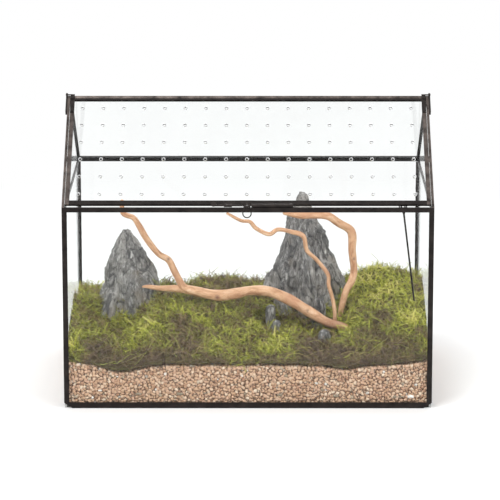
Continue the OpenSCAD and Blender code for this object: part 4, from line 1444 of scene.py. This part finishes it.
class TERRARIUM_OT_metal(Operator):
    """Gives the strips and fittings their dark patina"""

    bl_idname = "terrarium.metal"
    bl_label = "Darken the metal"

    def execute(self, context):
        values = context.scene.terrarium.metal
        strips = metal_material("strip patina", values.dark, values.rubbed, values.grain, 0.5)
        fittings = metal_material(
            "fitting patina", values.dark, values.rubbed, values.grain * 0.4, 0.75,
        )
        # The paler rubbed colour on the worn strips is partly wear and partly a painted sheen
        paler = [WORN_SHEEN_PALER * c for c in values.rubbed]
        worn = metal_material("worn patina", values.dark, paler, values.grain, 0.9)
        for name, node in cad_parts.items():
            if name in PANES or name == LID_SHEET or name in LANDSCAPE:
                continue
            node.data.materials.clear()
            patina = fittings if name in FITTINGS else worn if name in WORN_SHEEN_STRIPS else strips
            node.data.materials.append(patina)
        finish_piece(corner_seams(), fittings, TANK, "fittings")
        return {"FINISHED"}


SHEET_TINT = (0.985, 0.99, 0.99)


def islands(edit):
    """The points of each part of a mesh that hangs together."""
    found, seen = [], set()
    for first in edit.verts:
        if first in seen:
            continue
        island, waiting = [], [first]
        seen.add(first)
        while waiting:
            vertex = waiting.pop()
            island.append(vertex.co.copy())
            for edge in vertex.link_edges:
                other = edge.other_vert(vertex)
                if other not in seen:
                    seen.add(other)
                    waiting.append(other)
        found.append(island)
    return found


def hole_centres(sheet):
    """The middle of each air hole in the sheet, in metres, and the sheet's normal."""
    edit = bmesh.new()
    edit.from_mesh(sheet.data)
    bmesh.ops.remove_doubles(edit, verts=edit.verts, dist=0.01 * MM)
    flat = max(edit.faces, key=lambda f: f.calc_area()).normal.copy()
    if flat.z < 0:
        flat.negate()
    others = [
        f for f in edit.faces if abs(f.normal.dot(flat)) >= 0.1 or f.calc_area() >= VENT_WALL_AREA
    ]
    bmesh.ops.delete(edit, geom=others, context="FACES")
    walls = [island for island in islands(edit) if len(island) >= VENT_WALL_POINTS]
    centres = [sum(island, Vector()) / len(island) for island in walls]
    edit.free()
    return centres, flat


def rim_item(radius, thick):
    """A frosted ring around an air hole, with its upper edge marked for painted shade."""
    vertices, faces, marks = [], [], []
    sides, around = 16, 5
    for k in range(sides):
        angle = 2 * math.pi * k / sides
        for j in range(around):
            turn = 2 * math.pi * j / around
            r = radius + thick * math.cos(turn)
            vertices.append((r * math.cos(angle), r * math.sin(angle), thick * math.sin(turn)))
            # The mark is painted shade, strongest at the ring's upper edge
            marks.append(max(math.sin(angle), 0))
            a, b = k * around + j, k * around + (j + 1) % around
            c, d = ((k + 1) % sides) * around + j, ((k + 1) % sides) * around + (j + 1) % around
            faces.append((a, c, d, b))
    mesh = mesh_from("rim", vertices, faces)
    store_values(mesh, "tip", marks)
    piece = add_object("rim", mesh)
    shade_smooth(piece)
    return piece


def rim_material():
    """Frosted light edges, with painted shade at the top of each hole that grows darker towards the
    ridge.
    """
    material, tree, end = new_material("frosted rims")
    top_shade_mark = attribute_value(tree, "tip")
    height = add_node(tree, "ShaderNodeSeparateXYZ", Vector=object_coordinates(tree)).outputs["Z"]
    frost = noise_node(tree, object_coordinates(tree), 1500.0, 2.0)
    # Painted shade at the top of each hole, darker the higher the hole sits towards the ridge
    ridge_shade_share = map_range(tree, height, 0.235, 0.3, 0.4, 1.0)
    shade = math_node(tree, "MULTIPLY", map_range(tree, top_shade_mark, 0.0, 0.5), ridge_shade_share)
    light = mix_colour(tree, frost, (0.45, 0.45, 0.46), (0.68, 0.69, 0.7))
    principled(
        tree, end, Base_Color=mix_colour(tree, shade, light, (0.03, 0.028, 0.028)),
        Metallic=0.0, Roughness=0.6,
    )
    return material


def placing_tree():
    """Puts an item on every point, all turned the same way."""
    tree, given, end = geometry_tree("Place rings", (
        ("Geometry", "NodeSocketGeometry", None), ("Item", "NodeSocketObject", None),
        ("Tilt", "NodeSocketRotation", None), ("Finish", "NodeSocketMaterial", None),
    ))
    points = add_node(tree, "GeometryNodeMeshToPoints", Mesh=given["Geometry"])
    item = add_node(tree, "GeometryNodeObjectInfo", Object=given["Item"])
    placed = add_node(
        tree, "GeometryNodeInstanceOnPoints", Points=points.outputs[0],
        Instance=item.outputs["Geometry"], Rotation=given["Tilt"],
    )
    end_tree(tree, end, placed.outputs[0], given["Finish"])
    return tree


def vent_rims(sheet):
    """A frosted rim in every air hole of the lid's sheet, as one piece."""
    centres, flat = hole_centres(sheet)
    if not centres:
        raise RuntimeError("no air holes were found in the lid's sheet")
    item = rim_item(VENT_RADIUS, RIM_THICKNESS)
    piece = add_object("vent_rims", mesh_from("vent_rims", centres, []))
    tilt = Vector((0, 0, 1)).rotation_difference(flat).to_euler()
    run_tree(piece, placing_tree(), {"Item": item, "Tilt": tilt, "Finish": rim_material()})
    remove_object(item)
    return piece


class TERRARIUM_OT_glass(Operator):
    """Makes the panes and the lid's sheet clear"""

    bl_idname = "terrarium.glass"
    bl_label = "Clear the glass"

    def execute(self, context):
        values = context.scene.terrarium.glass
        pane = glass_material("pane glass", values.tint, values.index)
        side = glass_material("side glass", values.tint, values.side_index)
        sheet = glass_material("lid sheet", SHEET_TINT, values.index)
        for name in PANES + (LID_SHEET,):
            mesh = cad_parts[name].data
            mesh.materials.clear()
            mesh.materials.append(sheet if name == LID_SHEET else side if name in SIDE_PANES else pane)
        rims = vent_rims(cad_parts[LID_SHEET])
        finish_piece(rims, None, LID, "glass")
        return {"FINISHED"}


FLOOR_REACH = 14.0
FLOOR_DROP = -0.0002
WORLD_LIGHT = 0.55
# Each lamp's name, place, target, size and power
LAMPS = (
    ("key", (-1.1, -1.5, 1.9), (0, 0, 0.12), (1.4, 1.4), 42.0),
    ("fill", (1.5, -1.3, 1.2), (0, 0, 0.12), (1.4, 1.4), 20.0),
    ("back", (0.2, 1.6, 1.7), (0, 0, 0.2), (1.8, 1.0), 22.0),
)
CAMERA_PLACE = (0.0054, -3.318, 0.908)
CAMERA_TURN = (math.radians(90 - 12.96), 0, 0.001)


def lamp(name, place, target, size, power):
    data = bpy.data.lights.new(name, "AREA")
    data.shape = "RECTANGLE"
    data.size, data.size_y = size
    data.energy = power
    lit = bpy.data.objects.new(name, data)
    bpy.context.scene.collection.objects.link(lit)
    lit.location = place
    lit.rotation_euler = (Vector(target) - Vector(place)).to_track_quat("-Z", "Y").to_euler()
    return lit


def seen_white(tree):
    """One for rays from the camera, mirrors and glass, nought for those that light the object."""
    path = tree.nodes.new("ShaderNodeLightPath")
    seen = math_node(tree, "MAXIMUM", path.outputs["Is Camera Ray"], path.outputs["Is Glossy Ray"])
    return math_node(tree, "MAXIMUM", seen, path.outputs["Is Transmission Ray"])


def studio_world(strength):
    world = bpy.data.worlds.new("studio")
    bpy.context.scene.world = world
    world.use_nodes = True
    tree = world.node_tree
    tree.nodes.clear()
    end = tree.nodes.new("ShaderNodeOutputWorld")
    light = add_node(tree, "ShaderNodeBackground", Color=(1, 1, 1, 1), Strength=strength)
    white = add_node(tree, "ShaderNodeBackground", Color=(1, 1, 1, 1), Strength=1.0)
    blend_shaders(tree, end, seen_white(tree), light, white)


def floor_material(colour):
    """A pale floor that fades to plain white away from the object."""
    material, tree, end = new_material("pale floor")
    place = add_node(tree, "ShaderNodeTexCoord").outputs["Object"]
    flat = add_node(tree, "ShaderNodeVectorMath", {"operation": "LENGTH"})
    tree.links.new(place, flat.inputs[0])
    far = map_range(tree, flat.outputs["Value"], 0.35, 1.1)
    fade = math_node(tree, "MULTIPLY", far, seen_white(tree))
    matt = add_node(tree, "ShaderNodeBsdfDiffuse", Color=opaque(colour))
    white = add_node(tree, "ShaderNodeEmission", Color=(1, 1, 1, 1), Strength=1.0)
    blend_shaders(tree, end, fade, matt, white)
    return material


class TERRARIUM_OT_stage(Operator):
    """Sets the floor, the lamps and the camera"""

    bl_idname = "terrarium.stage"
    bl_label = "Set the stage"

    def execute(self, context):
        values = context.scene.terrarium.stage
        far = FLOOR_REACH
        floor = add_object("floor", mesh_from(
            "floor", [(-far, -far, 0), (far, -far, 0), (far, far, 0), (-far, far, 0)], [(0, 1, 2, 3)],
        ))
        floor.location.z = FLOOR_DROP
        floor.data.materials.append(floor_material(values.floor))
        studio_world(WORLD_LIGHT)
        for each in LAMPS:
            lamp(*each)
        camera_data = bpy.data.cameras.new("camera")
        camera_data.lens = values.lens
        camera_data.sensor_width = 36.0
        camera_data.clip_start, camera_data.clip_end = 0.05, 60.0
        camera = bpy.data.objects.new("camera", camera_data)
        context.scene.collection.objects.link(camera)
        camera.location = CAMERA_PLACE
        camera.rotation_euler = CAMERA_TURN
        context.scene.camera = camera
        context.scene.view_settings.view_transform = "Standard"
        return {"FINISHED"}


class TERRARIUM_PT_panel(Panel):
    """Lists every step of dressing the terrarium"""

    bl_label = "Terrarium"
    bl_idname = "TERRARIUM_PT_panel"
    bl_space_type = "VIEW_3D"
    bl_region_type = "UI"
    bl_category = "Terrarium"

    def draw(self, context):
        settings = context.scene.terrarium
        for label, group, operator in STEPS:
            box = self.layout.box()
            box.label(text=label)
            if group:
                values = getattr(settings, group)
                for name in values.__annotations__:
                    box.prop(values, name)
            box.operator(operator)


STEPS = (
    ("Metal", "metal", "terrarium.metal"),
    ("Glass", "glass", "terrarium.glass"),
    ("Gravel", "gravel", "terrarium.gravel"),
    ("Stones", "stone", "terrarium.stones"),
    ("Driftwood", "wood", "terrarium.driftwood"),
    ("Moss", "moss", "terrarium.moss"),
    ("Stage", "stage", "terrarium.stage"),
)
CLASSES = (
    MetalSettings, GlassSettings, GravelSettings, StoneSettings, WoodSettings, MossSettings,
    StageSettings, TerrariumSettings, TERRARIUM_OT_metal, TERRARIUM_OT_glass, TERRARIUM_OT_gravel,
    TERRARIUM_OT_stones, TERRARIUM_OT_driftwood, TERRARIUM_OT_moss, TERRARIUM_OT_stage,
    TERRARIUM_PT_panel,
)


def register():
    for cls in CLASSES:
        bpy.utils.register_class(cls)
    bpy.types.Scene.terrarium = PointerProperty(type=TerrariumSettings)


def unregister():
    del bpy.types.Scene.terrarium
    for cls in reversed(CLASSES):
        bpy.utils.unregister_class(cls)


def main():
    register()
    bpy.ops.terrarium.metal()
    bpy.ops.terrarium.glass()
    bpy.ops.terrarium.gravel()
    bpy.ops.terrarium.stones()
    bpy.ops.terrarium.driftwood()
    bpy.ops.terrarium.moss()
    bpy.ops.terrarium.stage()
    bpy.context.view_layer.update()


if __name__ == "__main__":
    main()
